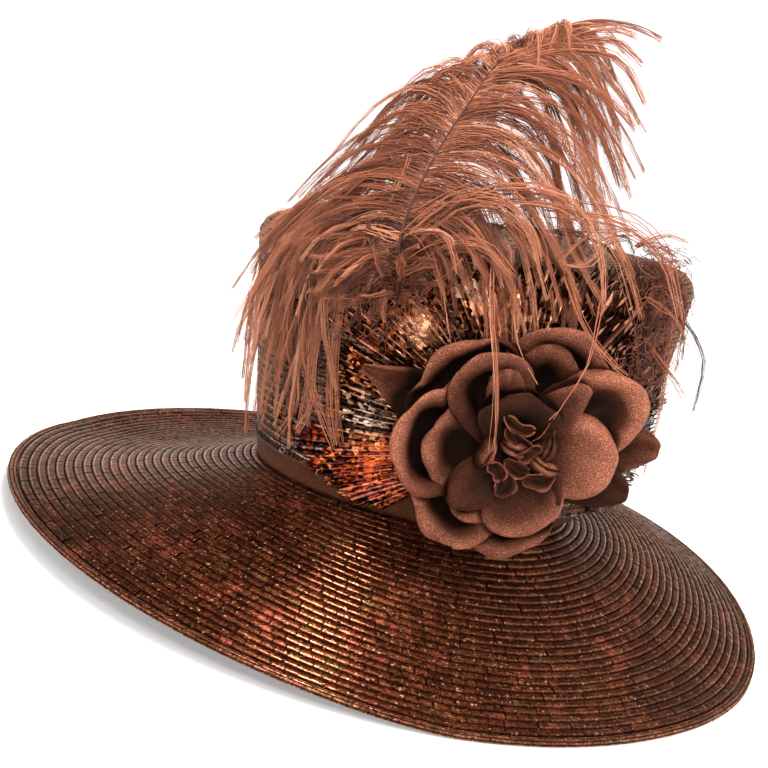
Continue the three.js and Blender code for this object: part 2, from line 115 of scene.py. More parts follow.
def brim_point(azimuth, share, lift=0.0):
    azimuth, share = np.broadcast_arrays(np.asarray(azimuth, float), np.asarray(share, float))
    neck = polar(azimuth, head_radius(azimuth) + GAP, 0.0) @ lean.T + (0, 0, NECK_HEIGHT)
    rim = polar(azimuth, around(RIM_REACH, azimuth) - EDGE_WIDTH - GAP, rim_lift(azimuth) + EDGE_HEIGHT)
    fall = 1 - DROOP * share + (DROOP - 1) * share ** 6
    hump = around(BRIM_HUMP, azimuth) * 4 * share * (1 - share)
    point = neck + (rim - neck) * (share * (0.92 + 0.08 * share))[..., None]
    point[..., 2] = rim[..., 2] + (neck[..., 2] - rim[..., 2]) * fall + hump + lift
    return (point + (0, CENTRE_Y, 0)) * MM


def ring_faces(rows, columns, closed=True):
    """Quads between neighbouring rows of points. closed joins the last point of a row to its first."""
    across = np.arange(columns if closed else columns - 1)
    beside = (across + 1) % columns
    here = np.arange(rows - 1)[:, None] * columns
    quads = np.stack([here + across, here + beside, here + beside + columns, here + across + columns], -1)
    return quads.reshape(-1, 4)


def link(piece):
    bpy.context.scene.collection.objects.link(piece)
    return piece


def new_piece(name, points, faces, uv=None, edges=(), finish=None, **attributes):
    """A mesh object from its points. uv holds one pair a corner. An attribute holds one value a point, or
    one for them all."""
    mesh = bpy.data.meshes.new(name)
    points = np.asarray(points, float).reshape(-1, 3)
    mesh.from_pydata(points.tolist(), list(edges), [list(face) for face in faces])
    if uv is not None:
        mesh.uv_layers.new(name="cloth").data.foreach_set("uv", np.asarray(uv, np.float32).ravel())
    for key, values in attributes.items():
        values = np.asarray(values, np.float32).ravel()
        values = np.repeat(values, len(points)) if len(values) == 1 else values
        kind, field = ("FLOAT_VECTOR", "vector") if len(values) == 3 * len(points) else ("FLOAT", "value")
        mesh.attributes.new(key, kind, "POINT").data.foreach_set(field, values)
    mesh.polygons.foreach_set("use_smooth", [True] * len(mesh.polygons))
    mesh.validate()
    if finish:
        mesh.materials.append(finish)
    return link(bpy.data.objects.new(name, mesh))


def corner_uv(faces, rows, columns, long, wide):
    """UV of a ring grid's corners: `long` cells round each row and `wide` rows in all, with no seam."""
    faces = np.asarray(faces)
    column = (faces % columns).astype(float)
    column[:, 1:3][column[:, 1:3] == 0] = columns
    row = faces // columns
    return np.stack([column / columns * long, row / (rows - 1) * wide], -1).reshape(-1, 2)


def tube(rows, columns, long, wide):
    """Faces and UV of rows of points that close into a tube, the last row on to the first."""
    faces = ring_faces(rows + 1, columns)
    return faces % (rows * columns), corner_uv(faces, rows + 1, columns, long, wide)


def feed(tree, value, socket):
    """Links a wire or a socket into another node's socket, or sets that to a value."""
    value = getattr(value, "socket", value)
    if isinstance(value, bpy.types.NodeSocket):
        tree.links.new(value, socket)
    else:
        socket.default_value = value


def add_node(tree, kind, inputs=None, **settings):
    """A node with its settings made first, and its sockets then fed."""
    node = tree.nodes.new(kind)
    for key, value in settings.items():
        if key == "stops":
            ramp = node.color_ramp.elements
            while len(ramp) < len(value):
                ramp.new(0.5)
            for stop, (place, colour) in zip(ramp, value):
                stop.position, stop.color = place, (*colour, 1)
        else:
            setattr(node, key, value)
    for key, value in (inputs or {}).items():
        feed(tree, value, node.inputs[key])
    return node


class Wire:
    """One socket of a material's nodes. Sums, products and powers of wires add Math nodes."""

    def __init__(self, finish, socket):
        self.finish, self.socket = finish, socket

    def maths(self, operation, *others):
        return self.finish.maths(operation, self, *others)

    def clamp(self, high=1):
        return self.maths("MAXIMUM", 0).maths("MINIMUM", high)

    def __rsub__(self, other):
        return self.finish.maths("SUBTRACT", other, self)

    __abs__ = partialmethod(maths, "ABSOLUTE")
    __add__ = __radd__ = partialmethod(maths, "ADD")
    __sub__ = partialmethod(maths, "SUBTRACT")
    __mul__ = __rmul__ = partialmethod(maths, "MULTIPLY")
    __truediv__ = partialmethod(maths, "DIVIDE")
    __pow__ = partialmethod(maths, "POWER")


class Finish:
    """A material in the making, round one Principled shader."""

    def __init__(self, name):
        self.material = bpy.data.materials.new(name)
        self.material.use_nodes = True
        self.tree = self.material.node_tree
        self.shader = self.tree.nodes["Principled BSDF"]

    def node(self, kind, inputs=None, out=0, **settings):
        return Wire(self, add_node(self.tree, "ShaderNode" + kind, inputs, **settings).outputs[out])

    def maths(self, operation, *values):
        return self.node("Math", dict(enumerate(values)), operation=operation)

    def vectors(self, operation, inputs, out=0):
        return self.node("VectorMath", inputs, out, operation=operation)

    def attribute(self, name):
        return self.node("Attribute", out="Fac", attribute_name=name)

    def cloth(self):
        """The two coordinates of the piece's own cloth."""
        place = self.node("UVMap", uv_map="cloth")
        split = add_node(self.tree, "ShaderNodeSeparateXYZ", {0: place})
        return Wire(self, split.outputs[0]), Wire(self, split.outputs[1])

    def place(self):
        return self.node("TexCoord", out="Object")

    def noise(self, vector, scale, detail=2.0):
        return self.node("TexNoise", {"Vector": vector, "Scale": scale, "Detail": detail})

    def flakes(self, vector, scale):
        """Small flakes, each with a colour and a number drawn for it."""
        colour = self.node("TexVoronoi", {"Vector": vector, "Scale": scale}, "Color", feature="F1")
        return colour, self.node("SeparateColor", {0: colour})

    def mix(self, factor, first, second, blend="MIX"):
        return self.node("Mix", {0: factor, 6: first, 7: second}, 2, data_type="RGBA", blend_type=blend)

    def ramp(self, factor, *stops):
        return self.node("ValToRGB", {0: factor}, stops=stops)

    def bump(self, height, depth, strength=1.0):
        return self.node("Bump", {"Strength": strength, "Distance": depth, "Height": height})

    def shade(self, **sockets):
        for key, value in sockets.items():
            name = key.replace("_", " ").title().replace("Ior", "IOR")
            feed(self.tree, value, self.shader.inputs[name])
        return self.material


def straw_finish(name, deep, mid, light, roughness, splits=1):
    """Foil straw. Painted shade darkens the grooves and gaps round each cell of braid, and each cell has a line
    of small beads along one edge, lightened as a painted highlight line. The colour drifts round the hat, with
    a red or olive length here and there."""
    finish = Finish(name)
    along, across = ((wire * splits).maths("FRACT") for wire in finish.cloth())
    place = finish.place()
    # rung and groove: painted shade, near black, in the gaps at the cells' ends and the grooves between rows
    rung = ((abs(along - 0.5) * 2 - 0.88) * 11).clamp(0.6)
    groove = ((abs(across - 0.5) * 2) ** 8).maths("MAXIMUM", rung)
    dots = (along * (2 * math.pi * 3)).maths("SINE") * 0.5 + 0.5
    fibre = finish.noise(place, 1300, 3)
    welt = (1.35 - abs((across - 0.26) * 15)).clamp()
    # The welt's beads are real, and their lighter colour is also a painted highlight line along each row
    beads_and_highlight = welt * (dots * 0.4 + fibre * 0.5 + 0.2)
    _, flake = finish.flakes(place, 1000)
    tint = finish.attribute("tint")
    drift = finish.noise(place, 24, 3)
    patch = finish.noise(place, 55, 2)
    colour = finish.ramp(tint * 0.25 + drift * 0.75, (0.22, deep), (0.5, mid), (0.78, light))
    red = ((patch - 0.58) * 5 + (tint - 0.7) * 0.5).clamp(0.6)
    olive = ((0.40 - patch) * 6 + (0.3 - tint) * 0.5).clamp(0.5)
    colour = finish.mix(red, colour, (0.26, 0.060, 0.036, 1))
    colour = finish.mix(olive, colour, (0.12, 0.068, 0.022, 1))
    colour = finish.mix(beads_and_highlight * 0.5, colour, (0.46, 0.19, 0.11, 1))
    grain = finish.ramp(fibre * 0.6 + flake * 0.4, (0.32, (0.20, 0.18, 0.17)), (0.70, (2.3, 2.2, 2.1)))
    colour = finish.mix(1 - beads_and_highlight * 0.8, colour, grain, "MULTIPLY")
    # Painted glints: a few tiny flakes lightened to copper sparkles
    painted_sparkle = ((flake - 0.965) * 40).clamp(0.6)
    colour = finish.mix(painted_sparkle, colour, (0.70, 0.36, 0.22, 1))
    height = (1 - groove) * 0.4 + (fibre * 0.14 + flake * 0.22) * (1 - welt) + welt * 0.24
    return finish.shade(
        base_color=finish.mix(groove * 0.95, colour, (0.006, 0.003, 0.002, 1)),
        metallic=0.9,
        specular_ior_level=0.25,
        specular_tint=(1.0, 0.88, 0.79, 1),
        roughness=(fibre * 0.12 + flake * 0.16 + 0.16) * (1 - welt) + roughness + groove * 0.4,
        normal=finish.bump(height, 0.0005, 0.8),
    )


straw = straw_finish("foil_straw", (0.03, 0.008, 0.003), (0.066, 0.016, 0.006), (0.15, 0.043, 0.018), 0.125)


def open_tree(name, **given):
    """A new tree with its named inputs, and the sockets that hand them in."""
    tree = bpy.data.node_groups.new(name, "GeometryNodeTree")
    for key, kind in given.items():
        tree.interface.new_socket(key, in_out="INPUT", socket_type="NodeSocket" + kind)
    tree.interface.new_socket("Made", in_out="OUTPUT", socket_type="NodeSocketGeometry")
    return tree, add_node(tree, "NodeGroupInput").outputs


def close_tree(tree, made, given):
    """Makes what a tree laid real, gives it its finish and hands it out."""
    real = add_node(tree, "GeometryNodeRealizeInstances", {"Geometry": made.outputs[0]})
    finished = add_node(tree, "GeometryNodeSetMaterial", {"Geometry": real.outputs[0], "Material": given["Finish"]})
    add_node(tree, "NodeGroupOutput", {"Made": finished.outputs[0]})
    return tree


def held(tree, name, kind="FLOAT"):
    """What each point holds under this name."""
    return add_node(tree, "GeometryNodeInputNamedAttribute", {"Name": name}, data_type=kind).outputs[0]


def lay_tree():
    """Lays one small shape at each point, on the facing, along and size that the point holds."""
    tree, given = open_tree("lay_in_rows", Places="Geometry", Shape="Object", Finish="Material", Seed="Int")
    facing, along, size = (held(tree, name, "FLOAT_VECTOR") for name in ("facing", "along", "size"))
    turn = add_node(tree, "FunctionNodeAxesToRotation", {0: facing, 1: along}, primary_axis="Z", secondary_axis="X")
    shape = add_node(tree, "GeometryNodeObjectInfo", {"Object": given["Shape"]})
    laid = add_node(tree, "GeometryNodeInstanceOnPoints", {
        "Points": given["Places"], "Instance": shape.outputs["Geometry"],
        "Rotation": turn.outputs[0], "Scale": size,
    })
    chance = add_node(tree, "FunctionNodeRandomValue", {"Seed": given["Seed"]}, data_type="FLOAT")
    tinted = add_node(tree, "GeometryNodeStoreNamedAttribute", {
        "Geometry": laid.outputs[0], "Name": "tint", "Value": chance.outputs[1],
    }, data_type="FLOAT", domain="INSTANCE")
    return close_tree(tree, tinted, given)


def settle(piece, *spent):
    """Turns the evaluated object into a plain mesh, and drops its modifiers and the helper attributes."""
    graph = bpy.context.evaluated_depsgraph_get()
    mesh = bpy.data.meshes.new_from_object(piece.evaluated_get(graph))
    piece.modifiers.clear()
    piece.data = mesh
    for name in spent:
        if name in mesh.attributes:
            mesh.attributes.remove(mesh.attributes[name])
    return piece


def run_tree(piece, tree, *spent, **values):
    """Runs a tree on a piece, with its named inputs set by their sockets' identifiers."""
    modifier = piece.modifiers.new(tree.name, "NODES")
    modifier.node_group = tree
    for socket in tree.interface.items_tree:
        if socket.name.lower() in values:
            modifier[socket.identifier] = values[socket.name.lower()]
    piece.data.update()
    return settle(piece, *spent)


def wear(piece, slot, *nodes):
    """The piece rides on the hat and stands for its nodes. slot is not used."""
    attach(piece, "root")
    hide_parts(*nodes)


lay_in_rows = lay_tree()

# The unit cell of braid is a short rounded ridge with upright ends, which stay sharp
CELL_ACROSS = ((-0.5, 0.0), (-0.465, 0.66), (-0.30, 0.92), (0.0, 1.0), (0.30, 0.92), (0.465, 0.66), (0.5, 0.0))
cell_points, cell_faces = [], []
for strip in (((-0.5, 0.85), (-0.494, 1.0)), ((-0.494, 1.0), (0.494, 1.0)), ((0.494, 1.0), (0.5, 0.85))):
    cell_faces += (ring_faces(len(CELL_ACROSS), 2, closed=False) + len(cell_points)).tolist()
    cell_points += [(x, y, high * tall) for y, tall in CELL_ACROSS for x, high in strip]
cell_uv = [(cell_points[corner][0] + 0.5, cell_points[corner][1] + 0.5) for face in cell_faces for corner in face]
braid_cell = new_piece("braid_cell", cell_points, cell_faces, cell_uv)


def row_places(surface, place, pitch, cell_length, height, chance, stagger):
    """Where the cells of one row lie: on surface(azimuth, place), pitch apart from the next row's. They
    start a share of a cell on from the row before at the front of the hat, so that they run in slants."""
    ring = surface(np.linspace(0, 360, 180, endpoint=False), place)
    girth = np.linalg.norm(ring - np.roll(ring, 1, 0), axis=1).sum()
    count = max(6, round(girth / (cell_length * MM)))
    azimuth = FRONT + (np.arange(count) + stagger + chance.normal(0, 0.05, count)) * 360 / count
    half = 180 / count
    along = surface(azimuth + half, place) - surface(azimuth - half, place)
    down = surface(azimuth, place + pitch / 2) - surface(azimuth, place - pitch / 2)
    facing = np.cross(down, along)
    length, width = np.linalg.norm(along, axis=1), np.linalg.norm(down, axis=1)
    size = np.stack([length, width * 0.97, height * MM * chance.uniform(0.94, 1.04, count)], -1)
    facing = facing / np.linalg.norm(facing, axis=1, keepdims=True)
    facing = facing + along / length[:, None] * chance.normal(0, 0.012, (count, 1))
    facing = facing + down / width[:, None] * chance.normal(0, 0.04, (count, 1))
    return surface(azimuth, place), facing, along, size


def lay_rows(name, rows, finish, seed):
    places, facing, along, size = (np.concatenate(part) for part in zip(*rows))
    piece = new_piece(name, places, [], facing=facing, along=along, size=size)
    return run_tree(piece, lay_in_rows, "facing", "along", "size", shape=braid_cell, finish=finish, seed=seed)


ROUND = 240
UNDER_ROWS = BRIM_ROWS * 3
azimuths = np.arange(ROUND) * 360 / ROUND
brim_rows = [brim_point(azimuths, share, -BRIM_BED) for share in np.linspace(0, 1, BRIM_ROWS + 1)]
for step in range(UNDER_ROWS, -1, -1):
    ridge = 0.45 * abs(math.sin(math.pi * step / 3)) ** 0.7
    brim_rows.append(brim_point(azimuths, step / UNDER_ROWS, -WALL + 0.2 - ridge))
faces, uv = tube(len(brim_rows), ROUND, 150, len(brim_rows))
uv[:, 1] = np.where(uv[:, 1] > BRIM_ROWS + 1, (uv[:, 1] - BRIM_ROWS - 1) / 3, uv[:, 1])
# A darker copy of the straw for the wall under the cells and the brim's underside: painted shade in the gaps between
# cells
straw_painted_shade = straw_finish("foil_straw_painted_shade", (0.02, 0.007, 0.004), (0.04, 0.014, 0.007), (0.07, 0.026, 0.013), 0.3)
brim = new_piece("brim_wall", np.concatenate(brim_rows), faces, uv, finish=straw_painted_shade, tint=0.25)


def brim_top(azimuth, row):
    return brim_point(azimuth, row / BRIM_ROWS, -BRIM_SEAT)


chance = np.random.default_rng(11)
brim_places = [
    row_places(brim_top, row + 0.5, 1, CELL_LENGTH, CELL_HEIGHT, chance, row * 0.22 + chance.normal(0, 0.12))
    for row in range(BRIM_ROWS)
]
wear(brim, "straw", "brim")
wear(lay_rows("brim_braid", brim_places, straw, 3), "straw", "brim")

# Edge row. The last round of braid is doubled over into a thick roll, which stiffens the rim and which
# the hat rests on. Its cells wrap round a core.
def edge_point(azimuth, turn, swell=0.82):
    angle = np.radians(turn)
    azimuth, angle = np.broadcast_arrays(np.asarray(azimuth, float), angle)
    radius = around(RIM_REACH, azimuth) - EDGE_WIDTH / 2 + EDGE_WIDTH / 2 * swell * np.cos(angle)
    height = rim_lift(azimuth) + EDGE_HEIGHT / 2 + EDGE_HEIGHT / 2 * swell * np.sin(angle)
    return (polar(azimuth, radius, height) + (0, CENTRE_Y, 0)) * MM


EDGE_SIDES = 12
edge_rows = [edge_point(azimuths, -turn, 0.9) for turn in np.linspace(0, 360, EDGE_SIDES, endpoint=False)]
edge_straw = straw_finish("edge_foil_straw", (0.085, 0.028, 0.016), (0.16, 0.058, 0.032), (0.27, 0.115, 0.065), 0.12)
edge_core = new_piece("edge_roll", edge_rows, *tube(EDGE_SIDES, ROUND, 200, 5), finish=edge_straw)
edge_places = [
    row_places(lambda azimuth, turn: edge_point(azimuth, -turn), turn, 48, CELL_LENGTH, 0.75, chance, turn / 100)
    for turn in (-168, -120, -72, -24, 24)
]
wear(edge_core, "edge_braid", "edge_row")
wear(lay_rows("edge_braid", edge_places, edge_straw, 5), "edge_braid", "edge_row")

# Crown. The same strip of braid, sewn up from the head opening over a block: a wall that flares, a turned
# edge and a flat tip whose rows close in on its middle. It is hollow and open below.
WALL_TOP = 135
CORNER = 13
TIP_RISE = 8
TIP_SLANT = 0.065
BULGE_HEIGHT = 42
COLLAR = 2.2
CROWN_BULGE = (30, 22, 10, 3, 2, 2, 8, 22)
CROWN_FLARE = (9, 14, 16, 22, 27, 22, 13, 8)
CROWN_ROWS = 52
CROWN_PITCH = WALL_TOP / 28
CORNER_RUN = CROWN_PITCH * 4
TIP_RUN = CROWN_PITCH * 20
CROWN_RUN = WALL_TOP + CORNER_RUN + TIP_RUN


def crown_radius(azimuth, height):
    above = np.maximum(height, 0)
    bulge = around(CROWN_BULGE, azimuth) * np.sin(np.minimum(above / BULGE_HEIGHT, 1) * math.pi / 2)
    return head_radius(azimuth) + bulge + around(CROWN_FLARE, azimuth) * above / WALL_TOP


def crown_wall(azimuth, height, lift):
    """A point `lift` off the crown's wall, in the crown's frame. The wall goes on straight above its top."""
    point = polar(azimuth, crown_radius(azimuth, height) + lift, height)
    point[..., 2] *= 1 + TIP_SLANT * point[..., 0] / 100
    return point


def crown_point(azimuth, run, lift=0.0):
    """A point of the crown's surface, `run` up the wall from the head opening, over the edge and inwards."""
    azimuth, run = np.broadcast_arrays(np.asarray(azimuth, float), np.asarray(run, float))
    height = np.clip(run, 0, WALL_TOP)
    corner = np.clip((run - WALL_TOP) / CORNER_RUN, 0, 1) * math.pi / 2
    tip = np.clip((run - WALL_TOP - CORNER_RUN) / TIP_RUN, 0, 1)
    turned = (crown_radius(azimuth, WALL_TOP) - CORNER + (CORNER + lift) * np.cos(corner)) * (1 - tip)
    radius = np.where(run <= WALL_TOP, crown_radius(azimuth, height) + lift, turned)
    rise = height + (CORNER + lift) * np.sin(corner) + TIP_RISE * (1 - (1 - tip) ** 2)
    point = polar(azimuth, radius, rise)
    point[..., 2] *= 1 + TIP_SLANT * point[..., 0] / 100
    return from_crown(point)


crown_straw = straw_finish("crown_straw", (0.09, 0.045, 0.030), (0.15, 0.085, 0.060), (0.22, 0.14, 0.10), 0.24, 2)
CROWN_ROUND, CROWN_STEPS = 160, 104
CROWN_BED, CROWN_SEAT, POLE_GAP = 0.8, 0.75, 1.5
CROWN_CELL_LENGTH, CROWN_CELL_HEIGHT = CELL_LENGTH * 1.3, 1.3
crown_azimuths = np.arange(CROWN_ROUND) * 360 / CROWN_ROUND
runs = np.linspace(0, CROWN_RUN - POLE_GAP, CROWN_STEPS + 1)
crown_rows = [crown_point(crown_azimuths, run, -CROWN_BED) for run in runs[::-4]]
for lift in (0.0, -WALL):
    crown_rows.append(from_crown(polar(crown_azimuths, head_radius(crown_azimuths) + lift - 0.2, -COLLAR)))
for run in runs:
    crown_rows.append(crown_point(crown_azimuths, run, -WALL + 0.3 * abs(math.sin(math.pi * run / CROWN_PITCH))))
faces = ring_faces(len(crown_rows), CROWN_ROUND)
uv = corner_uv(faces, len(crown_rows), CROWN_ROUND, 96, CROWN_STEPS)
outer_pole = len(crown_rows) * CROWN_ROUND
last = outer_pole - CROWN_ROUND
pole_faces = []
for corner in range(CROWN_ROUND):
    beside = (corner + 1) % CROWN_ROUND
    pole_faces += [(outer_pole, beside, corner), (outer_pole + 1, last + corner, last + beside)]
poles = [crown_point(0, CROWN_RUN, -CROWN_BED), crown_point(0, CROWN_RUN, -WALL)]
points = np.concatenate([*crown_rows, poles])
uv = np.concatenate([uv, np.tile([0.5, 0.5], (len(pole_faces) * 3, 1))])
crown = new_piece("crown_wall", points, [*faces, *pole_faces], uv, finish=crown_straw, tint=0.25)


def crown_top(azimuth, run):
    return crown_point(azimuth, run, -CROWN_SEAT)


crown_places = []
for row in range(CROWN_ROWS):
    run = CROWN_RUN - (row + 0.5) * CROWN_PITCH
    cell = CROWN_CELL_LENGTH, CROWN_CELL_HEIGHT
    crown_places.append(row_places(crown_top, run, -CROWN_PITCH, *cell, chance, row * 0.45))
wear(crown, "straw", "crown")
wear(lay_rows("crown_braid", crown_places, crown_straw, 7), "straw", "crown")

# Ribbon. A plain satin ribbon sewn flat round the crown's foot. Its weave shines along the band.
BAND_FOOT, BAND_TOP, SATIN = 1, 14.2, 1.0
band_rows = []
for height in np.linspace(BAND_FOOT, BAND_TOP, 9):
    wave = 0.12 * np.sin(np.radians(crown_azimuths) * 9 + height * 0.2) + 0.15 * math.sin(height * 0.5)
    band_rows.append(from_crown(crown_wall(crown_azimuths, height, GAP + SATIN - 0.2 + wave)))


def satin_finish(name, shadow, mid, light, roughness, gloss):
    """Woven satin: a fine bright grain, soft blotches, and painted light and shade that run from shadow to light by
    the open attribute.
    """
    finish = Finish(name)
    place = finish.place()
    weave = finish.noise(place, 1500, 2)
    blotch = finish.noise(place, 60, 3)
    painted_light_share = finish.attribute("open")
    # painted shade where the open attribute is low, painted light where it is high
    tone = finish.ramp(painted_light_share * 0.85 + blotch * 0.25, (0.24, shadow), (0.60, mid), (1.0, light))
    grain = finish.ramp(weave, (0.38, (0.46, 0.42, 0.42)), (0.56, (0.86, 0.84, 0.84)), (0.74, (2.3, 2.3, 2.3)))
    return finish.shade(
        base_color=finish.mix(1.0, tone, grain, "MULTIPLY"),
        roughness=weave * 0.25 + roughness + (1 - painted_light_share).maths("MAXIMUM", 0) * 0.35,
        specular_ior_level=gloss,
        specular_tint=(1.0, 0.60, 0.44, 1),
        normal=finish.bump(weave * 0.6 + blotch * 0.5, 0.0004, 0.6),
    )


def thicken(piece, thick):
    """Gives one layer of cloth its thickness, half to each side."""
    solid = piece.modifiers.new("thickness", "SOLIDIFY")
    solid.thickness, solid.offset = thick * MM, 0
    settle(piece)


ribbon_satin = satin_finish("ribbon_satin", (0.03, 0.009, 0.004), (0.1, 0.031, 0.012), (0.2, 0.07, 0.03), 0.28, 0.4)
faces = ring_faces(len(band_rows), CROWN_ROUND)
uv = corner_uv(faces, len(band_rows), CROWN_ROUND, 60, 1)
ribbon = new_piece("ribbon_satin_sheet", band_rows, faces, uv, finish=ribbon_satin, open=0.55)
thicken(ribbon, 0.5)
wear(ribbon, "ribbon", "ribbon_band")

# Loop braid. One narrow row of dark looped braid hides the ribbon's upper edge.
CORD_HEIGHT, CORD_OFF, LOOPS = 15.8, GAP + 1.0, 176
LOOP_SIZE = (4.6 * MM, 2.7 * MM, 3.4 * MM)
bpy.ops.mesh.primitive_torus_add(major_radius=0.5, minor_radius=0.17, major_segments=10, minor_segments=5)
loop = bpy.context.object
loop_azimuths = np.arange(LOOPS) * 360 / LOOPS
here = from_crown(crown_wall(loop_azimuths, CORD_HEIGHT, CORD_OFF))
ahead = from_crown(crown_wall(loop_azimuths + 1, CORD_HEIGHT + 0.5, CORD_OFF))
outward = from_crown(crown_wall(loop_azimuths, CORD_HEIGHT, CORD_OFF + 5.0)) - here
chance = np.random.default_rng(21)
size = np.tile(LOOP_SIZE, (LOOPS, 1)) * chance.uniform(0.9, 1.1, (LOOPS, 1))
cord = new_piece("band_loops", here, [], facing=outward, along=ahead - here, size=size)
dark = Finish("dark_loop_braid")
dark.shade(
    base_color=dark.ramp(
        dark.attribute("tint"), (0.0, (0.02, 0.009, 0.006)), (0.75, (0.05, 0.024, 0.015)), (1.0, (0.42, 0.29, 0.20)),
    ),
    metallic=0.2,
    specular_ior_level=0.2,
    roughness=0.45,
    normal=dark.bump(dark.noise(dark.place(), 1200), 0.0003),
)
run_tree(cord, lay_in_rows, "facing", "along", "size", shape=loop, finish=dark.material, seed=9)
wear(cord, "band_braid", "band_cord")
bpy.data.objects.remove(loop)
bpy.data.objects.remove(braid_cell)

# Foil fans. Thin metallic foil cloth, creased into fine pleats and spread in seven fans round the rose. Small
# facets tilt its shine, painted glints lie along its creases and in patches, and its cut ends fray into dark threads.
FAN_AZIMUTH, FAN_HEIGHT = 296, 56
FAN_INNER = 15
# Name, first and last bearing, their reaches, how far off the crown, then dye from red to cream, and painted shine
FANS = (
    ("fan_low_left", 187.5, 221, 143, 82, 4.3, 0.20, 0.06),
    ("fan_left", 160, 186, 107, 106, 2.4, 0.44, 0.10),
    ("fan_upper_left", 129, 158.5, 100, 122, 2.4, 0.34, 0.14),
    ("fan_top", 84, 127.5, 93, 98, 2.4, 0.42, 0.12),
    ("fan_upper_right", 42, 82.5, 100, 94, 2.4, 0.50, -0.14),
    ("fan_right", 3, 40.5, 112, 88, 2.4, 0.46, -0.30),
    ("fan_low_right", -27, 2.5, 84, 106, 4.3, 0.46, -0.30),
)
# Painted glints, patches of painted highlight on the foil: across and up the crown, how wide, change of dye, and of
# painted shine
PAINTED_GLINTS = (
    (-17, 106, 10, 0.36, 0.75), (6, 132, 11, 0.30, 0.52), (26, 124, 15, 0.08, 0.50),
    (-30, 50, 15, 0.42, 0.22), (-20, 18, 24, 0.06, 0.60), (-60, 47, 10, -0.45, 0.4),
)
FAN_PLEAT = 4.4
wall_radius = float(crown_radius(np.array(FAN_AZIMUTH), np.array(FAN_HEIGHT)))

foil = Finish("pleated_foil")
fan_across, fan_along = foil.cloth()
place = foil.place()
line = 1 - (abs(fan_across.maths("FRACT") - 0.5) * 5.5).maths("MINIMUM", 1)
dash_place = foil.node("CombineXYZ", {0: fan_across.maths("FLOOR"), 1: fan_along * 1.2, 2: 0.0})
dash = foil.noise(dash_place, 1.3, 1)
facets, flake = foil.flakes(place, 400)
patches = foil.noise(place, 38, 2)
foil_painted_light = foil.attribute("shine")
dye = foil.ramp(
    foil.attribute("dye") + (foil.noise(place, 30, 2) - 0.5) * 0.9 + (flake - 0.5) * 0.35,
    (0.05, (0.34, 0.022, 0.065)), (0.22, (0.72, 0.075, 0.014)), (0.42, (0.90, 0.21, 0.05)),
    (0.66, (0.98, 0.48, 0.24)), (0.92, (1.0, 0.80, 0.62)),
)
# Painted shine: the film's colour runs from near black up to its dye where the painted shine is high
shine = (foil_painted_light * 1.4 + flake * 0.9 + (patches - 0.5) * 1.2 - 0.70).clamp()
# Painted glints: bright broken dashes along the pleat lines, in a pale glint colour and less metallic
painted_glint_dashes = line * ((dash - 0.50) * 14 + foil_painted_light * 4.0).clamp()
film = foil.mix(shine, (0.022, 0.006, 0.003, 1), dye)
glint = foil.mix(0.35, dye, (0.95, 0.70, 0.52, 1))
tilt = foil.vectors("SCALE", {0: foil.vectors("SUBTRACT", {0: facets, 1: (0.5, 0.5, 0.5)}), "Scale": 1.25})
bent = foil.vectors("ADD", {0: foil.node("NewGeometry", out="Normal"), 1: tilt})
foil.shade(
    base_color=foil.mix(painted_glint_dashes * 0.9, film, glint),
    metallic=1 - (painted_glint_dashes * 0.6 + shine * shine * 0.3),
    roughness=flake * 0.15 + 0.16,
    normal=foil.vectors("NORMALIZE", {0: bent}),
)


def fan_point(fan, reach_share, side_share, lift):
    _, start, end, reach_start, reach_end, base = fan[:6]
    angle = np.radians(start + (end - start) * side_share)
    reach = reach_start + (reach_end - reach_start) * side_share
    away = FAN_INNER + (reach - FAN_INNER) * reach_share
    turn = np.degrees(away * np.cos(angle) / wall_radius)
    return from_crown(crown_wall(FAN_AZIMUTH + turn, FAN_HEIGHT + away * np.sin(angle), base + lift))


def thread_tree():
    """Gives every line of points a round section of its own thickness, closed at both ends."""
    tree, given = open_tree("threads", Lines="Geometry", Sides="Int", Finish="Material")
    lines = add_node(tree, "GeometryNodeMeshToCurve", {"Mesh": given["Lines"]})
    section = add_node(tree, "GeometryNodeCurvePrimitiveCircle", {"Resolution": given["Sides"], "Radius": 1.0})
    tubes = add_node(tree, "GeometryNodeCurveToMesh", {
        "Curve": lines.outputs[0], "Profile Curve": section.outputs[0],
        "Scale": held(tree, "thick"), "Fill Caps": True,
    })
    return close_tree(tree, tubes, given)


threads = thread_tree()


def draw_threads(name, lines, thick, tint, finish, sides=3):
    """Lines is an array of (line, point, 3) in metres; thick and tint hold a value for each point."""
    count, steps = lines.shape[:2]
    first = (np.arange(count) * steps)[:, None] + np.arange(steps - 1)
    edges = np.stack([first, first + 1], -1).reshape(-1, 2).tolist()
    piece = new_piece(name, lines, [], edges=edges, thick=thick, tint=tint)
    return run_tree(piece, threads, "thick", sides=sides, finish=finish)


def cloth_area(points):
    """The area of a grid of points."""
    corners, others = points[1:, 1:] - points[:-1, :-1], points[1:, :-1] - points[:-1, 1:]
    return float(np.linalg.norm(np.cross(corners, others), axis=-1).sum() / 2)


FAN_STEPS, FRAY_STEPS = 30, 6
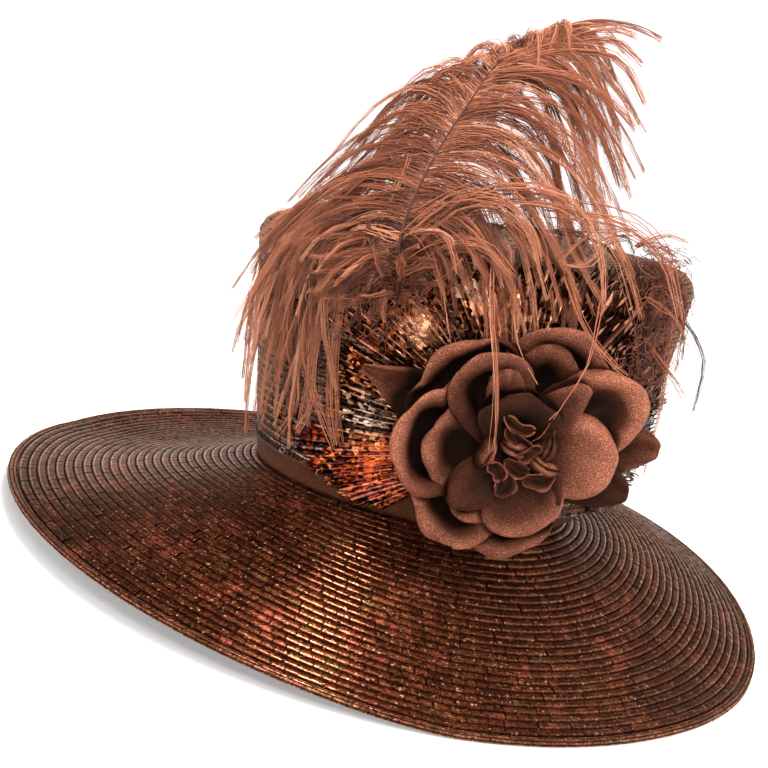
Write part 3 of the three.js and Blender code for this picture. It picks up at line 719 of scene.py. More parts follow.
# How far the cloth stands out at each step across one pleat
PLEAT = (-0.75, 0.0, 1.0, 0.0, 0.0)
run = np.linspace(0, 1, FRAY_STEPS)
fray_lines = []
for number, fan in enumerate(FANS):
    chance = np.random.default_rng(40 + number)
    name, start, end, reach_start, reach_end, _, dyed, painted_shining = fan
    pleats = round(math.radians(end - start) * (reach_start + reach_end) / 2 / FAN_PLEAT)
    across = pleats * len(PLEAT) + 1
    jitter = chance.normal(0, 0.10 / pleats, across)
    jitter[[0, -1]] = 0
    side = np.linspace(0, 1, across) + jitter
    reach_share, side_share = np.meshgrid(np.linspace(0, 1, FAN_STEPS), side, indexing="ij")
    reach_share = reach_share * (1 + chance.uniform(-0.06, 0.02, across))
    lift = np.resize(PLEAT, across) * (0.25 + 0.75 * reach_share) + chance.normal(0, 0.10, reach_share.shape)
    points = fan_point(fan, reach_share, side_share, lift)
    faces = ring_faces(FAN_STEPS, across, closed=False)
    uv = np.stack([(faces % across) / len(PLEAT), faces // across / 3], -1).reshape(-1, 2)
    flat = ((points / MM - (0, CENTRE_Y, NECK_HEIGHT)) @ lean).reshape(-1, 3)
    frayed = painted_shining < 0
    for at_x, at_z, wide, more_dye, more_shine in PAINTED_GLINTS:
        near = np.exp(-((flat[:, 0] - at_x) ** 2 + (flat[:, 2] - at_z) ** 2) / wide ** 2)
        dyed, painted_shining = dyed + near * more_dye, painted_shining + near * more_shine
    cloth = new_piece(name + "_foil", points, faces, uv, finish=foil.material, dye=dyed, shine=painted_shining)
    thicken(cloth, 0.2)
    wear(cloth, "foil", name)
    area = cloth_area(points)
    longest = (max(reach_start, reach_end) - FAN_INNER) * MM
    area / longest * 1.15
    many = pleats * (9 if frayed else 1)
    length = chance.uniform(0.02, 0.15 if frayed else 0.05, many)[:, None]
    at_side = np.clip(chance.uniform(0, 1, many)[:, None] + chance.normal(0, 0.02, (many, 1)) * run ** 2, 0, 1)
    fray_lift = 0.6 + chance.uniform(-0.3, 3.5, (many, 1)) * run ** 1.5
    fray_lines.append(fan_point(fan, 0.93 + length * run, at_side, fray_lift))
frays = np.concatenate(fray_lines)
fray_finish = Finish("frayed_foil")
fray_colour = fray_finish.ramp(
    fray_finish.attribute("tint"),
    (0.0, (0.014, 0.006, 0.003)), (0.8, (0.075, 0.028, 0.014)), (1.0, (0.6, 0.34, 0.22)),
)
fray_finish.shade(base_color=fray_colour, specular_ior_level=0.05, roughness=0.8)
chance = np.random.default_rng(57)
fray_tint = np.repeat(chance.random((len(frays), 1)), FRAY_STEPS, 1)
fray_thick = np.repeat(chance.uniform(0.15, 0.5, (len(frays), 1)), FRAY_STEPS, 1) * MM
fray_threads = draw_threads("fan_frays", frays, fray_thick, fray_tint, fray_finish.material)
wear(fray_threads, "foil", *(fan[0] for fan in FANS))

# Straw ends. Cut ends of braid and single broken straws stand out of the rows and the rim.
ENDS, END_STEPS = 110, 5
chance = np.random.default_rng(71)
end_azimuth = chance.uniform(0, 360, ENDS)[:, None]
end_share = np.where(chance.random(ENDS) < 0.35, 1.0, chance.uniform(0.05, 0.98, ENDS))[:, None]
run = np.linspace(0, 1, END_STEPS)
slew = chance.normal(0, 1.8, (ENDS, 1)) * run
end_share = end_share + chance.normal(0.01, 0.02, (ENDS, 1)) * run
end_lines = brim_point(end_azimuth + slew, end_share, -0.5 + chance.uniform(0.8, 3.2, (ENDS, 1)) * run)
end_thick = np.full((ENDS, END_STEPS), 0.22 * MM) * np.linspace(1, 0.5, END_STEPS)
end_tint = np.repeat(chance.random((ENDS, 1)), END_STEPS, 1)
wear(draw_threads("straw_ends", end_lines, end_thick, end_tint, fray_finish.material), "straw", "brim")

# Rose. Satin petals cut one by one, rolled at their rims over a hot iron and sewn one behind another
# round a bunch of small creased buds. Painted shade and painted light lie in their colour.
ROSE_AZIMUTH, ROSE_HEIGHT, ROSE_FACING, ROSE_STANDOFF = 293, 56, 281, 6.3
PETAL_STEP = 1.5
PETAL_ROOT = -7
BOWL_RADIUS, BOWL_FIRST, BOWL_LAST = 50, 2, 13
# Name, bearing, reach and width as they lie; then how steeply the rim's wall stands, how far it rolls
# back, in degrees, how deep the middle is creased, how much painted light the satin gets, and how pointed it is cut
PETALS = (
    ("petal_back_left", 164, 88, 40, 10, 35, -5.5, 0.66, 1.0),
    ("petal_tail", 12, 82, 36, 5, 20, -2.0, 0.62, 0.35),
    ("petal_low_right", -10, 71, 34, 5, 20, -1.5, 0.30, 0.3),
    ("petal_top", 74, 72, 54, 76, 135, 0.0, 0.80, 0.0),
    ("petal_upper_left", 138, 67, 62, 66, 135, 0.0, 0.82, 0.0),
    ("petal_upper_right", 36, 76, 50, 35, 100, 0.0, 1.4, 0.1),
    ("petal_bottom", 276, 58, 56, 52, 115, 0.0, 0.85, 0.0),
    ("petal_lower_left", 235, 62, 50, 70, 135, 0.0, 0.92, 0.0),
    ("petal_left", 184, 66, 58, 74, 140, 0.0, 0.95, 0.0),
    ("petal_upper_mid", 124, 58, 46, 74, 130, 0.0, 0.74, 0.0),
    ("petal_right", 6, 56, 46, 0, 85, 0.0, 1.6, 0.0),
    ("petal_front", 294, 47, 46, 0, 80, -1.5, 1.05, 0.0),
    ("petal_fold", 58, 52, 26, 15, 40, 2.5, 0.72, 0.5),
    ("petal_inner_left", 232, 42, 26, 15, 60, 3.5, 0.52, 0.0),
    ("petal_inner_top", 98, 34, 44, 30, 60, 0.0, 0.34, 0.0),
)
rose_seat = crown_wall(np.array(ROSE_AZIMUTH), np.array(ROSE_HEIGHT), ROSE_STANDOFF)
rose_out = polar(ROSE_FACING, 1.0, 0.0)
rose_right = np.cross((0, 0, 1), rose_out)


def from_rose(points):
    """Points of the rose's own frame, whose third axis faces out from the crown."""
    turned = points[..., :1] * rose_right + points[..., 1:2] * np.array((0, 0, 1)) + points[..., 2:] * rose_out
    return from_crown(turned + rose_seat)


rose_satin = satin_finish("rose_satin", (0.003, 0.0008, 0.0004), (0.07, 0.02, 0.01), (0.36, 0.13, 0.076), 0.34, 0.22)
WALL_WIDTH, ROLL_WIDTH = 6.0, 13.0
# Folds that stand inside a petal's cup: the petal, then bearing, share of its reach and width, and lift
INNER_FOLDS = {
    "petal_left": (4, 0.74, 0.74, 2.6), "petal_upper_mid": (-12, 0.80, 0.46, 2.2),
    "petal_top": (6, 0.84, 0.70, 2.0), "petal_lower_left": (8, 0.72, 0.60, 1.8),
}


def petal_half(u, width, point):
    """Half a petal's width, at the share u of its length."""
    full = width / 2 * np.sin(math.pi * (0.08 + 0.72 * np.clip(u, 0, 1) ** 1.35))
    return full * (1 - 0.85 * point * np.clip((u - 0.4) / 0.6, 0, 1) ** 1.4)


def turned(x, y, bearing):
    angle = math.radians(bearing)
    return x * math.cos(angle) - y * math.sin(angle), x * math.sin(angle) + y * math.cos(angle)


def rim_profile(wall, roll, inset):
    """How far a rim moves outwards and forwards, `inset` in from its flat edge: it stands up as a wall and
    then rolls back over."""
    steps = np.linspace(0, WALL_WIDTH + ROLL_WIDTH, 60)
    rising = np.clip(steps / WALL_WIDTH, 0, 1)
    rolling = np.clip((steps - WALL_WIDTH) / ROLL_WIDTH, 0, 1)
    heading = np.radians(wall * (3 - 2 * rising) * rising ** 2 - roll * rolling)
    step = steps[1] - steps[0]
    out = np.concatenate([[0], np.cumsum(np.cos(heading[:-1]) * step)])
    rise = np.concatenate([[0], np.cumsum(np.sin(heading[:-1]) * step)])
    gone = np.clip(WALL_WIDTH + ROLL_WIDTH - inset, 0, None)
    return np.interp(gone, steps, out) - gone, np.interp(gone, steps, rise), steps[-1] - out[-1]


def covered(x, y, order):
    """How far the petals in front lie over a place of the rose, from 0 to 1."""
    share = np.zeros_like(x)
    for _, bearing, reach, width, _, _, _, _, point in PETALS[order + 1:]:
        along, aside = turned(x, y, -bearing)
        u = (along - PETAL_ROOT) / (reach - PETAL_ROOT)
        inside = np.minimum(petal_half(u, width, point) - np.abs(aside), (1 - u) * (reach - PETAL_ROOT))
        inside = np.minimum(inside, u * (reach - PETAL_ROOT))
        share = np.maximum(share, np.clip(inside / 6 + 0.4, 0, 1))
    return share * share * (3 - 2 * share)


PETAL_ROWS, PETAL_COLUMNS = 44, 37


def petal_grid(bearing, reach, width, order, wall, roll, crease, point, chance):
    """A petal's points in the rose's frame, and how much painted light each gets."""
    slack = rim_profile(wall, roll, np.array(0.0))[2]
    spread = np.sin(np.linspace(-1, 1, PETAL_COLUMNS) * 1.35) / math.sin(1.35)
    u, v = np.meshgrid(np.linspace(0, 1, PETAL_ROWS) ** 0.85, spread, indexing="ij")
    deep = BOWL_FIRST + (BOWL_LAST - BOWL_FIRST) * order / (len(PETALS) - 1)
    half = petal_half(u, width + 2 * slack, point)
    length = reach + slack - PETAL_ROOT
    arc = 0.20 * width * (1 - point) * v ** 2 * u ** 4
    along = PETAL_ROOT + length * u - arc
    aside = half * v
    wavy = chance.uniform(0.7, 1.3) * 1.3 * np.sin(chance.uniform(0, 6.3) + 7 * v + 3 * u) * u ** 2
    to_side = np.maximum(half * (1 - np.abs(v)), 0.02)
    to_tip = np.maximum(length * (1 - u), 0.02)
    inset = (to_side ** -3.0 + to_tip ** -3.0) ** (-1 / 3)
    push_side, push_tip = (inset / to_side) ** 4 * np.sign(v), (inset / to_tip) ** 4
    norm = np.maximum(np.hypot(push_side, push_tip), 1e-6)
    shift, rise, _ = rim_profile(wall, roll, inset)
    cupped = min(1, wall / 50)
    free = (1 - covered(*turned(along, aside, bearing), order)) * np.clip(u * 2.4 - 0.35, 0, 1)
    x, y = turned(along + shift * free * push_tip / norm, aside + shift * free * push_side / norm, bearing)
    z = order * PETAL_STEP + deep * (np.hypot(x, y) / BOWL_RADIUS) ** 2 + wavy
    z = z + rise * free * (1.15 + 0.3 * np.sin(4 * v + 2.3 * order))
    z = z - 2.2 * np.exp(-(((inset - ROLL_WIDTH - 6) / 6.0) ** 2)) * free * cupped
    z = z + crease * (1 - np.abs(v)) ** 1.5 * np.sin(math.pi * np.clip(u, 0, 1) ** 0.7 * 0.85)
    for _ in range(4):
        place, slant = chance.uniform(-0.7, 0.7), chance.normal(0, 0.25)
        fold = np.exp(-(((v - place - slant * u) / 0.09) ** 2))
        z = z - chance.uniform(0.2, 0.7) * fold * np.sin(math.pi * np.clip(u * 1.1, 0, 1))
    # Painted light on the rolled rim; painted shade at the root, in the hollow inside the rim's wall and under the
    # petals in front
    rim = np.clip(1 - inset / ROLL_WIDTH, 0, 1)
    cavity = np.exp(-(((inset - ROLL_WIDTH - 5) / 6.0) ** 2)) * cupped
    open_share = np.clip(0.06 + 0.66 * np.clip(u * 1.5 - 0.35, 0, 1) + 0.40 * rim - 0.62 * cavity, 0, 1.1)
    return np.stack([x, y, z], -1), open_share * (1 - 0.75 * covered(x, y, order))


def grid_faces(rows, columns, layers):
    """Faces of some grids of points, one after another."""
    faces = ring_faces(rows, columns, closed=False)
    return np.concatenate([faces + layer * rows * columns for layer in range(layers)])


chance = np.random.default_rng(61)
for order, (name, bearing, reach, width, wall, roll, crease, light, point) in enumerate(PETALS):
    grid, open_share = petal_grid(bearing, reach, width, order, wall, roll, crease, point, chance)
    # light scales the petal's painted light and shade
    layers, opened = [from_rose(grid)], [open_share * light]
    if name in INNER_FOLDS:
        swing, long_share, wide_share, lift = INNER_FOLDS[name]
        within = bearing + swing, reach * long_share, width * wide_share
        grid, open_share = petal_grid(*within, order, 60, 120, 0.0, 0.0, chance)
        layers.append(from_rose(grid + (0, 0, lift)))
        opened.append(open_share * light * 0.9)
    faces = grid_faces(PETAL_ROWS, PETAL_COLUMNS, len(layers))
    petal = new_piece(name + "_satin", layers, faces, finish=rose_satin, open=opened)
    thicken(petal, 0.7)
    wear(petal, "satin", name)
    area = sum(cloth_area(layer) for layer in layers)

# Buds. A bunch of small petals, each folded in two and pleated by its thread, fills the rose's middle.
# Place across and up, bearing of the fold, length and width, how far forward, and the lean to one side
BUDS = (
    (0, 3, -5, 19, 11, 25.0, 10), (2, -7, -12, 15, 9, 27.5, -20), (-1, -16, 96, 15, 11, 25.5, 0),
    (-14, -2, 78, 18, 10, 26.0, 18), (-3, 14, -14, 19, 7, 26.5, -25), (-1, 9, -24, 18, 7, 28.0, 20),
    (16, -3, -16, 19, 9, 26.5, -15), (16, -10, 22, 18, 10, 25.5, 12), (12, 13, 58, 19, 8, 26.5, 20),
    (17, 7, 82, 15, 8, 28.0, -15), (6, 4, 40, 13, 8, 29.0, 25), (-7, -9, 140, 12, 8, 27.0, -10),
)
BUD_ROWS, BUD_COLUMNS = 15, 17
u, v = np.meshgrid(np.linspace(-1, 1, BUD_ROWS), np.linspace(-1, 1, BUD_COLUMNS), indexing="ij")
round_end = (1 - 0.97 * np.abs(u) ** 2.4) ** 0.5
buds, opened = [], []
for number, (right, high, bearing, length, width, forward, lean_side) in enumerate(BUDS):
    side = width / 2 * v * round_end * (1 + 0.12 * np.sin(5 * u + number))
    lobes = np.abs(np.sin(math.pi * np.abs(v) ** (0.8 + 0.3 * np.sin(number * 2.1 + v)))) ** 0.8
    pleats = 0.6 * np.sin(9 * u + 2.5 * v + number * 1.7) * lobes
    rise = 4.0 * lobes * round_end * (1 + 0.3 * np.sign(v) * math.sin(number)) + pleats - 3.0 * np.abs(v) ** 3
    # Painted light on the raised lobes and rims, painted shade in the folds between them
    bud_painted_light = 0.05 + 0.95 * lobes * round_end - 0.3 * np.abs(u) ** 6
    if number % 3:
        rise = 3.6 * np.abs(v) ** 1.6 * (1 + 0.35 * np.sin(4 * u + number)) + 0.8 * pleats - 1.0
        bud_painted_light = 0.30 + 0.12 * np.sin(7 * v + 3 * u + number) + 0.7 * np.maximum(np.abs(v), np.abs(u)) ** 4
    side, rise = turned(side, rise, lean_side)
    along = length / 2 * u
    direction = math.radians(bearing) + 0.25 * u
    x = right + along * np.cos(direction) - side * np.sin(direction)
    y = high + along * np.sin(direction) + side * np.cos(direction)
    buds.append(from_rose(np.stack([x, y, forward + rise - 1.5 * u ** 2], -1)))
    opened.append(np.clip(bud_painted_light, 0, 1) * chance.uniform(0.55, 0.95))
bud_area = sum(cloth_area(bud) for bud in buds)
heart = new_piece("rose_buds", buds, grid_faces(BUD_ROWS, BUD_COLUMNS, len(buds)), finish=rose_satin, open=opened)
thicken(heart, 0.6)
wear(heart, "satin", "rose_heart")

# Plumes. Three dyed ostrich feathers: a soft bent quill with long fine barbs, which arch out of both
# sides, hang under their own weight and cling together in wisps.
QUILL_LIFT = 5.3
# Points lie in the crown's frame. A lock is a place along the quill, its barbs' length to the left and the
# right, their spread to each side, and their droop. A strand is a line, with how many barbs follow it and
# how widely. Down is a place, its scatter and how many curls. bright is how much paler the tip is.
PLUMES = (
    {
        "name": "plume_main", "lift": 14, "slack": 200, "wisps": 290, "hairs": 12, "loose": 7,
        "bright": 0.42, "shortest": 0.66,
        "quill": (
            (-28, -111, 116), (-36, -112, 150), (-32, -98, 184), (-21, -82, 220), (-7, -70, 252), (20, -62, 274),
        ),
        "locks": (
            (0.30, 76, 68, 80, 70, 60), (0.44, 82, 104, 74, 58, 88), (0.58, 74, 102, 66, 50, 90),
            (0.72, 52, 86, 60, 42, 78), (0.86, 28, 70, 54, 34, 54), (0.97, 12, 54, 50, 14, 24),
        ),
        "strands": (
            (((12, -112, 155), (20, -142, 124), (31, -160, 90), (36, -154, 61)), 5, 0.5),
            (((24, -112, 143), (36, -128, 113), (51, -134, 97)), 2, 0.5),
            (((-12, -110, 140), (-2, -122, 118), (4, -127, 104)), 2, 0.5),
            (((-43, -95, 188), (-46, -106, 159), (-52, -114, 127)), 9, 1.0),
            (((-29, -114, 151), (-14, -112, 171), (8, -112, 178), (26, -116, 169), (34, -120, 156)), 34, 4.5),
            (((-25, -118, 137), (-13, -120, 150), (6, -122, 155), (23, -124, 146)), 26, 3.0),
            (((-9, -72, 246), (17, -64, 265), (40, -60, 277), (57, -58, 277)), 18, 1.3),
            (((-9, -72, 245), (23, -66, 261), (51, -62, 263), (70, -60, 245)), 18, 1.3),
            (((-8, -72, 247), (20, -64, 263), (45, -60, 272), (63, -58, 264)), 18, 1.3),
            (((-10, -76, 240), (21, -72, 248), (48, -68, 243), (67, -66, 232)), 18, 1.5),
        ),
        "down": ((-30, -112, 112), (15, 3, 8), 200),
    },
    {
        "name": "plume_left", "lift": 6, "slack": 9, "wisps": 130, "hairs": 12, "loose": 14,
        "bright": 0.40, "shortest": 0.45,
        "quill": ((-41, -106, 110), (-50, -102, 140), (-66, -93, 151), (-84, -79, 142), (-95, -66, 118)),
        "locks": (
            (0.34, 80, 30, 92, 60, 22), (0.54, 92, 34, 78, 60, 26),
            (0.76, 82, 30, 56, 50, 28), (0.93, 62, 22, 24, 24, 28),
        ),
        "strands": (
            (((-105, -45, 113), (-105, -45, 96), (-108, -45, 69)), 5, 0.8),
            (((-60, -98, 133), (-58, -100, 93), (-52, -100, 56), (-43, -100, 33)), 12, 1.2),
            (((-87, -84, 122), (-82, -86, 79), (-70, -88, 49), (-76, -86, 26)), 8, 1.0),
            (((-77, -90, 114), (-73, -94, 77), (-53, -97, 44), (-44, -99, 32)), 8, 1.0),
            (((-64, -96, 120), (-66, -96, 80), (-62, -96, 50), (-66, -94, 34)), 8, 1.0),
        ),
        "down": ((-62, -98, 118), (16, 3, 8), 120),
    },
    {
        "name": "plume_right", "lift": 9, "slack": 12, "wisps": 46, "hairs": 9, "loose": 32,
        "bright": -0.20, "shortest": 0.3,
        "quill": (
            (-19, -113, 118), (-14, -113, 146), (-2, -102, 166), (20, -98, 172),
            (52, -86, 172), (88, -66, 160), (106, -48, 140),
        ),
        "locks": (
            (0.42, 26, 34, 60, 60, 10), (0.6, 36, 56, 58, 60, 24),
            (0.78, 44, 84, 50, 56, 40), (0.93, 40, 78, 30, 30, 36),
        ),
        "strands": (
            (((71, -110, 150), (73, -130, 116), (66, -142, 91), (62, -144, 82)), 2, 0.5),
            (((52, -110, 150), (68, -118, 128), (85, -118, 115), (95, -112, 109)), 6, 1.0),
            (((83, -85, 172), (96, -80, 182), (110, -78, 182)), 6, 0.8),
            (((97, -85, 148), (111, -82, 143), (123, -80, 132)), 5, 0.8),
            (((107, -85, 123), (121, -82, 111), (130, -80, 102)), 5, 0.8),
            (((-24, -108, 159), (6, -104, 185), (42, -104, 189), (65, -110, 169), (73, -116, 146)), 18, 4.0),
            (((-2, -108, 175), (38, -104, 185), (73, -104, 171), (94, -108, 139)), 12, 3.5),
            (((39, -100, 180), (74, -90, 183), (101, -84, 170), (118, -84, 142)), 12, 4.5),
            (((56, -104, 174), (45, -116, 158), (60, -118, 162), (66, -108, 181)), 4, 0.6),
        ),
        "down": ((103, -64, 138), (9, 10, 25), 900),
    },
)


def beside_crown(points, lift, slack):
    """Points moved straight off the crown, or back to it, until they are lift to lift + slack clear of it."""
    azimuth = np.degrees(np.arctan2(points[..., 1], points[..., 0]))
    slant = 1 + TIP_SLANT * points[..., 0] / 100
    height = points[..., 2] / slant
    radius = np.hypot(points[..., 0], points[..., 1])
    flat = crown_radius(azimuth, WALL_TOP) - CORNER
    over, out = height > WALL_TOP, radius > flat
    corner = over & out
    base_radius = np.where(corner, flat, np.where(over, radius, crown_radius(azimuth, height) - CORNER))
    base_height = np.where(corner, WALL_TOP, np.where(over, WALL_TOP + TIP_RISE * (1 - (radius / flat) ** 2), height))
    tilt = np.where(corner, np.arctan2(height - WALL_TOP, radius - flat), np.where(over, math.pi / 2, 0))
    clear = (radius - base_radius) * np.cos(tilt) + (height - base_height) * np.sin(tilt) - CORNER
    kept = CORNER + np.clip(clear, lift, lift + slack)
    return polar(azimuth, base_radius + kept * np.cos(tilt), (base_height + kept * np.sin(tilt)) * slant)


def curve_through(points, share):
    """A smooth curve through points, and its direction."""
    points = np.array(points, float)
    padded = np.concatenate([[2 * points[0] - points[1]], points, [2 * points[-1] - points[-2]]])
    place = np.clip(share, 0, 1) * (len(points) - 1)
    row = np.minimum(place.astype(int), len(points) - 2)
    t = (place - row)[..., None]
    a, b, c, d = (padded[row + step] for step in range(4))
    spot = 0.5 * (2 * b + (c - a) * t + (2 * a - 5 * b + 4 * c - d) * t ** 2 + (3 * b - a - 3 * c + d) * t ** 3)
    way = 0.5 * ((c - a) + 2 * (2 * a - 5 * b + 4 * c - d) * t + 3 * (3 * b - a - 3 * c + d) * t ** 2)
    return spot, way / np.linalg.norm(way, axis=-1, keepdims=True)


feather = Finish("dyed_ostrich")
feather_colour = feather.ramp(
    feather.attribute("tint"), (0.0, (0.045, 0.011, 0.005)), (0.35, (0.21, 0.054, 0.021)),
    (0.7, (0.43, 0.140, 0.064)), (1.0, (0.72, 0.31, 0.18)),
)
feather.shade(base_color=feather_colour, roughness=0.55)

BARB_STEPS, QUILL_STEPS = 9, 40
BARB_CLEAR, FAR = 3.0, 400
shares = np.linspace(0, 1, BARB_STEPS)
run = shares[:, None]
cling = np.minimum(run ** 0.8 * 1.5, 0.93)
ribbon_wide = np.sin(math.pi * run ** 0.8) ** 0.6


def barbs(plume, at, side, length, spread, droop, sway, off):
    """Barbs from the quill at `at`: shapes (n,) in, and points (n, step, 3) in the crown's frame out."""
    spot, way = curve_through(plume["quill"], at)
    spot = beside_crown(spot, QUILL_LIFT, plume["slack"])
    level = np.concatenate([spot[:, :2], np.zeros((len(spot), 1))], 1)
    level /= np.linalg.norm(level, axis=1, keepdims=True)
    aside = np.cross(level, way)
    aside /= np.linalg.norm(aside, axis=1, keepdims=True)
    angle = np.radians(spread) * side
    start = way * np.cos(angle)[:, None] + aside * np.sin(angle)[:, None]
    points = spot[:, None] + start[:, None] * length[:, None, None] * run
    points = points + way[:, None] * (sway * length)[:, None, None] * run ** 2
    points = points + level[:, None] * off[:, None, None] * np.sin(math.pi * 0.6 * run)
    points[..., 2] -= droop[:, None] * shares ** 2.3
    lift = QUILL_LIFT + (plume["lift"] - QUILL_LIFT) * np.minimum(shares * 4, 1)
    return beside_crown(points, lift * 0.8, plume["slack"])


for number, plume in enumerate(PLUMES):
    chance = np.random.default_rng(80 + number)
    table = np.array(plume["locks"], float)
    wisps, hairs = plume["wisps"], plume["hairs"]
    many = wisps * hairs
    at = 0.02 + 0.975 * (np.arange(wisps) + chance.uniform(0, 1, wisps)) / wisps
    side = np.where(chance.random(wisps) < 0.5, 1.0, -1.0)
    left, right, left_spread, right_spread, droop = (np.interp(at, table[:, 0], column) for column in table.T[1:])
    young = np.clip(at / table[0, 0], 0.24, 1)
    length = np.maximum(np.where(side > 0, left, right), 14) * young * chance.uniform(plume["shortest"], 1.12, wisps)
    spread = np.where(side > 0, left_spread, right_spread) + chance.normal(0, plume["loose"], wisps)
    droop = droop * young ** 2 * chance.uniform(0.75, 1.3, wisps)
    sway = chance.normal(0.0, 0.14, wisps)
    off = chance.uniform(-3, 6, wisps)
    guide = barbs(plume, at, side, length, spread, droop, sway, off)
    down_at_foot = np.where(at < 0.24, 2.6, 1.0)
    wander = np.cumsum(chance.normal(0, 1.25, guide.shape), 1) * down_at_foot[:, None, None]
    guide = np.repeat(guide + np.cumsum(wander - wander[:, :1], 1) * 0.20, hairs, 0)
    each = (np.repeat(values, hairs) for values in (at, side, length, spread, down_at_foot, droop, sway, off))
    at_each, side, length, spread, down_loose, droop, sway, off = each
    own = barbs(
        plume,
        np.clip(at_each + chance.normal(0, 0.014, many), 0.02, 1),
        side,
        length * chance.uniform(0.8, 1.05, many),
        spread + chance.normal(0, 4, many) * down_loose,
        droop * chance.uniform(0.85, 1.15, many),
        sway + chance.normal(0, 0.03, many),
        off + chance.normal(0, 2.0, many),
    )
    lines = own * (1 - cling) + guide * cling + chance.normal(0, 0.75, (many, 1, 3)) * ribbon_wide
    lines += np.cumsum(chance.normal(0, 0.16, lines.shape), 1)
    lines = beside_crown(lines, BARB_CLEAR, FAR)
    thick = (0.18 * (1 - shares) + 0.09) * chance.uniform(0.75, 1.2, (many, 1)) * MM
    tint = chance.normal(0.36, 0.26, wisps) + plume["bright"] * at - 0.07 * down_at_foot
    tint = np.repeat(tint, hairs)[:, None] + chance.normal(0, 0.12, (many, 1))
    drawn = [(lines, thick, np.clip(tint + 0.28 * shares - 0.05, 0, 1))]
    for line, strands, wide in plume["strands"]:
        spine = curve_through(line, shares)[0]
        strand = spine + chance.normal(0, wide, (strands, 1, 3)) * (1 - 0.6 * run)
        strand = beside_crown(strand + np.cumsum(chance.normal(0, 0.35, strand.shape), 1), BARB_CLEAR, FAR)
        thick = (0.30 * (1 - shares) + 0.12) * chance.uniform(0.8, 1.1, (strands, 1)) * MM
        drawn.append((strand, thick, np.clip(0.55 + 0.25 * shares + chance.normal(0, 0.1, (strands, 1)), 0, 1)))
    middle, scatter, curls = plume["down"]
    turn = chance.uniform(0, 6.3, (curls, 1)) + chance.normal(0, 3.0, (curls, 1)) * shares
    step = chance.uniform(0.8, 1.7, (curls, 1))
    sideways = chance.normal(0, 0.4, turn.shape)
    curl = np.stack([np.cumsum(part, 1) for part in (np.cos(turn) * step, sideways, np.sin(turn) * step)], -1)
    curl = beside_crown(curl + middle + chance.normal(0, 1, (curls, 1, 3)) * scatter, 5.0, 12)
    curl_tint = np.clip(chance.normal(0.24, 0.16, (curls, 1)) + 0.12 * shares, 0, 1)
    drawn.append((curl, np.full(turn.shape, 0.2 * MM), curl_tint))
    lines, thick, tint = (np.concatenate(part) for part in zip(*drawn))
    vane = draw_threads(plume["name"] + "_barbs", from_crown(lines), thick, tint, feather.material)
    wear(vane, "feather", plume["name"])
    stem_at = np.linspace(0, 0.9, QUILL_STEPS)
    stem = beside_crown(curve_through(plume["quill"], stem_at)[0] - (0, 1.0, 0), QUILL_LIFT, plume["slack"])
    stem_thick = (0.85 - 0.7 * stem_at) * MM
    quill = draw_threads(plume["name"] + "_quill", from_crown(stem)[None], stem_thick, 0.06, feather.material, 8)
    wear(quill, "feather", plume["name"])

# Studio. A plain pale floor that curves up all round into a low wall and glows with painted light, brighter
# out to the wall, under soft light: a dim even sky, a long narrow soft box overhead from front to back, and
# weaker ones in front and at the sides.
FLOOR_FLAT, FLOOR_OUT, WALL_RISE, FLOOR_ROUND = 1.6, 3.4, 1.3, 96
floor_azimuths = np.arange(FLOOR_ROUND) * 360 / FLOOR_ROUND
floor_rows = []
for swing in np.radians(np.linspace(0, 90, 13)):
    radius = FLOOR_FLAT + (FLOOR_OUT - FLOOR_FLAT) * math.sin(swing)
    floor_rows.append(polar(floor_azimuths, radius, WALL_RISE * (1 - math.cos(swing))))
floor_faces = ring_faces(len(floor_rows), FLOOR_ROUND)
middle = len(floor_rows) * FLOOR_ROUND
floor_fan = [(middle, corner, (corner + 1) % FLOOR_ROUND) for corner in range(FLOOR_ROUND)]
pale = Finish("pale_floor")
paper = pale.noise(pale.place(), 300, 2) * 0.02 + 0.82
# The floor glows: painted light, dim near the hat and brighter out to the wall
glow = pale.ramp(pale.vectors("LENGTH", {0: pale.place()}, "Value") / 3.6, (0.12, (0.3,) * 3), (0.8, (0.8,) * 3))
paper = pale.node("CombineColor", {0: paper, 1: paper, 2: paper})
pale_shade = pale.shade(base_color=paper, roughness=0.8, emission_color=glow, emission_strength=1.0)
floor_points = np.concatenate([*floor_rows, [(0.0, 0.0, 0.0)]])
new_piece("floor", floor_points, [*floor_faces[:, ::-1], *floor_fan], finish=pale_shade)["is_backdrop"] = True

world = bpy.data.worlds.new("studio")
bpy.context.scene.world = world
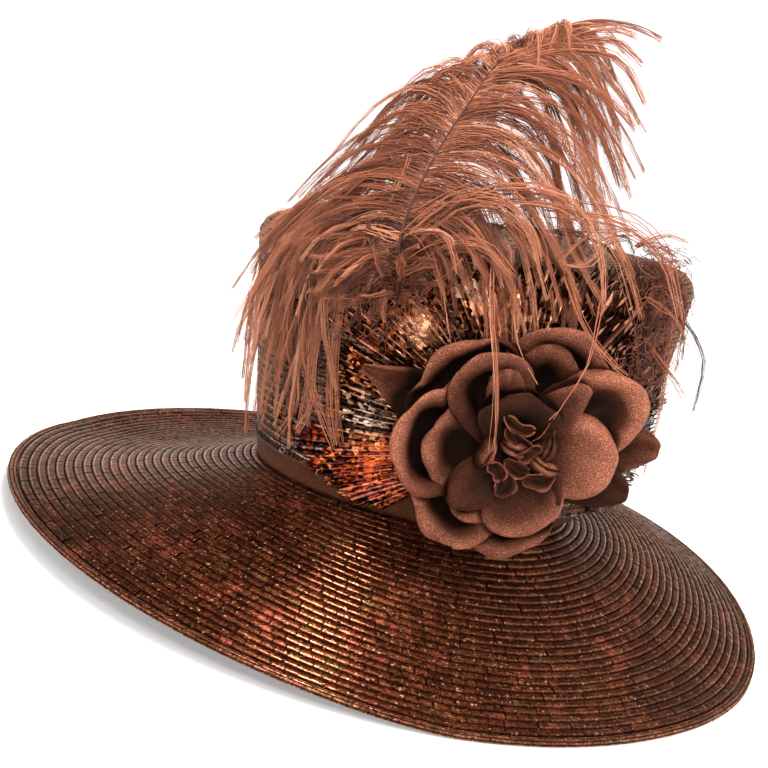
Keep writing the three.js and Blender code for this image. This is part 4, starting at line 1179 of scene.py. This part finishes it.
world.use_nodes = True
sky = world.node_tree.nodes["Background"].inputs
sky["Color"].default_value = (1, 1, 1, 1)
sky["Strength"].default_value = 0.12


def level_axes(back):
    """Right, up and back of a light that looks along -back, kept level."""
    back = np.array(back, float) / np.linalg.norm(back)
    right = np.cross((0, 1, 0) if abs(back[2]) > 0.9 else (0, 0, 1), back)
    right = right / np.linalg.norm(right)
    return right, np.cross(back, right), back


def stand(thing, place, axes):
    """Puts a light or a camera at its place, with its own right, up and back along three axes."""
    link(thing).matrix_world = Matrix.Translation(place) @ Matrix(np.array(axes).T.tolist()).to_4x4()


def soft_light(name, place, aim, size, power, colour=(1, 1, 1)):
    lamp = bpy.data.lights.new(name, "AREA")
    lamp.shape = "RECTANGLE"
    lamp.size, lamp.size_y = size
    lamp.energy = power
    lamp.color = colour
    stand(bpy.data.objects.new(name, lamp), place, level_axes(np.subtract(place, aim)))


soft_light("strip", (0.06, -0.25, 1.4), (0.08, -0.25, 0.0), (0.20, 1.3), 27, (1, 0.91, 0.83))
soft_light("front", (0.05, -1.4, 1.3), (0, 0, 0.12), (0.55, 0.55), 13)
soft_light("right", (1.5, 0.05, 0.9), (0, 0, 0.15), (1.7, 1.7), 9)
soft_light("left", (-1.6, -0.3, 0.8), (0, 0, 0.1), (0.9, 0.9), 7)

# The camera, as it was fitted to the rows of braid in the photo
FOCAL_PIXELS, PHOTO_PIXELS, SENSOR = 1673.39, 768, 36
VIEWPOINT = (0, -0.9519, 0.3673)
right = np.array((0.95735552, 0.09194936, 0.27388998))
up = np.array((-0.28891245, 0.30468825, 0.90757626))
camera = bpy.data.cameras.new("camera")
camera.lens, camera.sensor_width = FOCAL_PIXELS / PHOTO_PIXELS * SENSOR, SENSOR
camera.shift_x, camera.shift_y = -0.0363, 0.1274
viewer = bpy.data.objects.new("camera", camera)
stand(viewer, VIEWPOINT, (right, up, np.cross(right, up)))
bpy.context.scene.camera = viewer
bpy.context.scene.view_settings.view_transform = "Standard"

low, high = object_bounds()
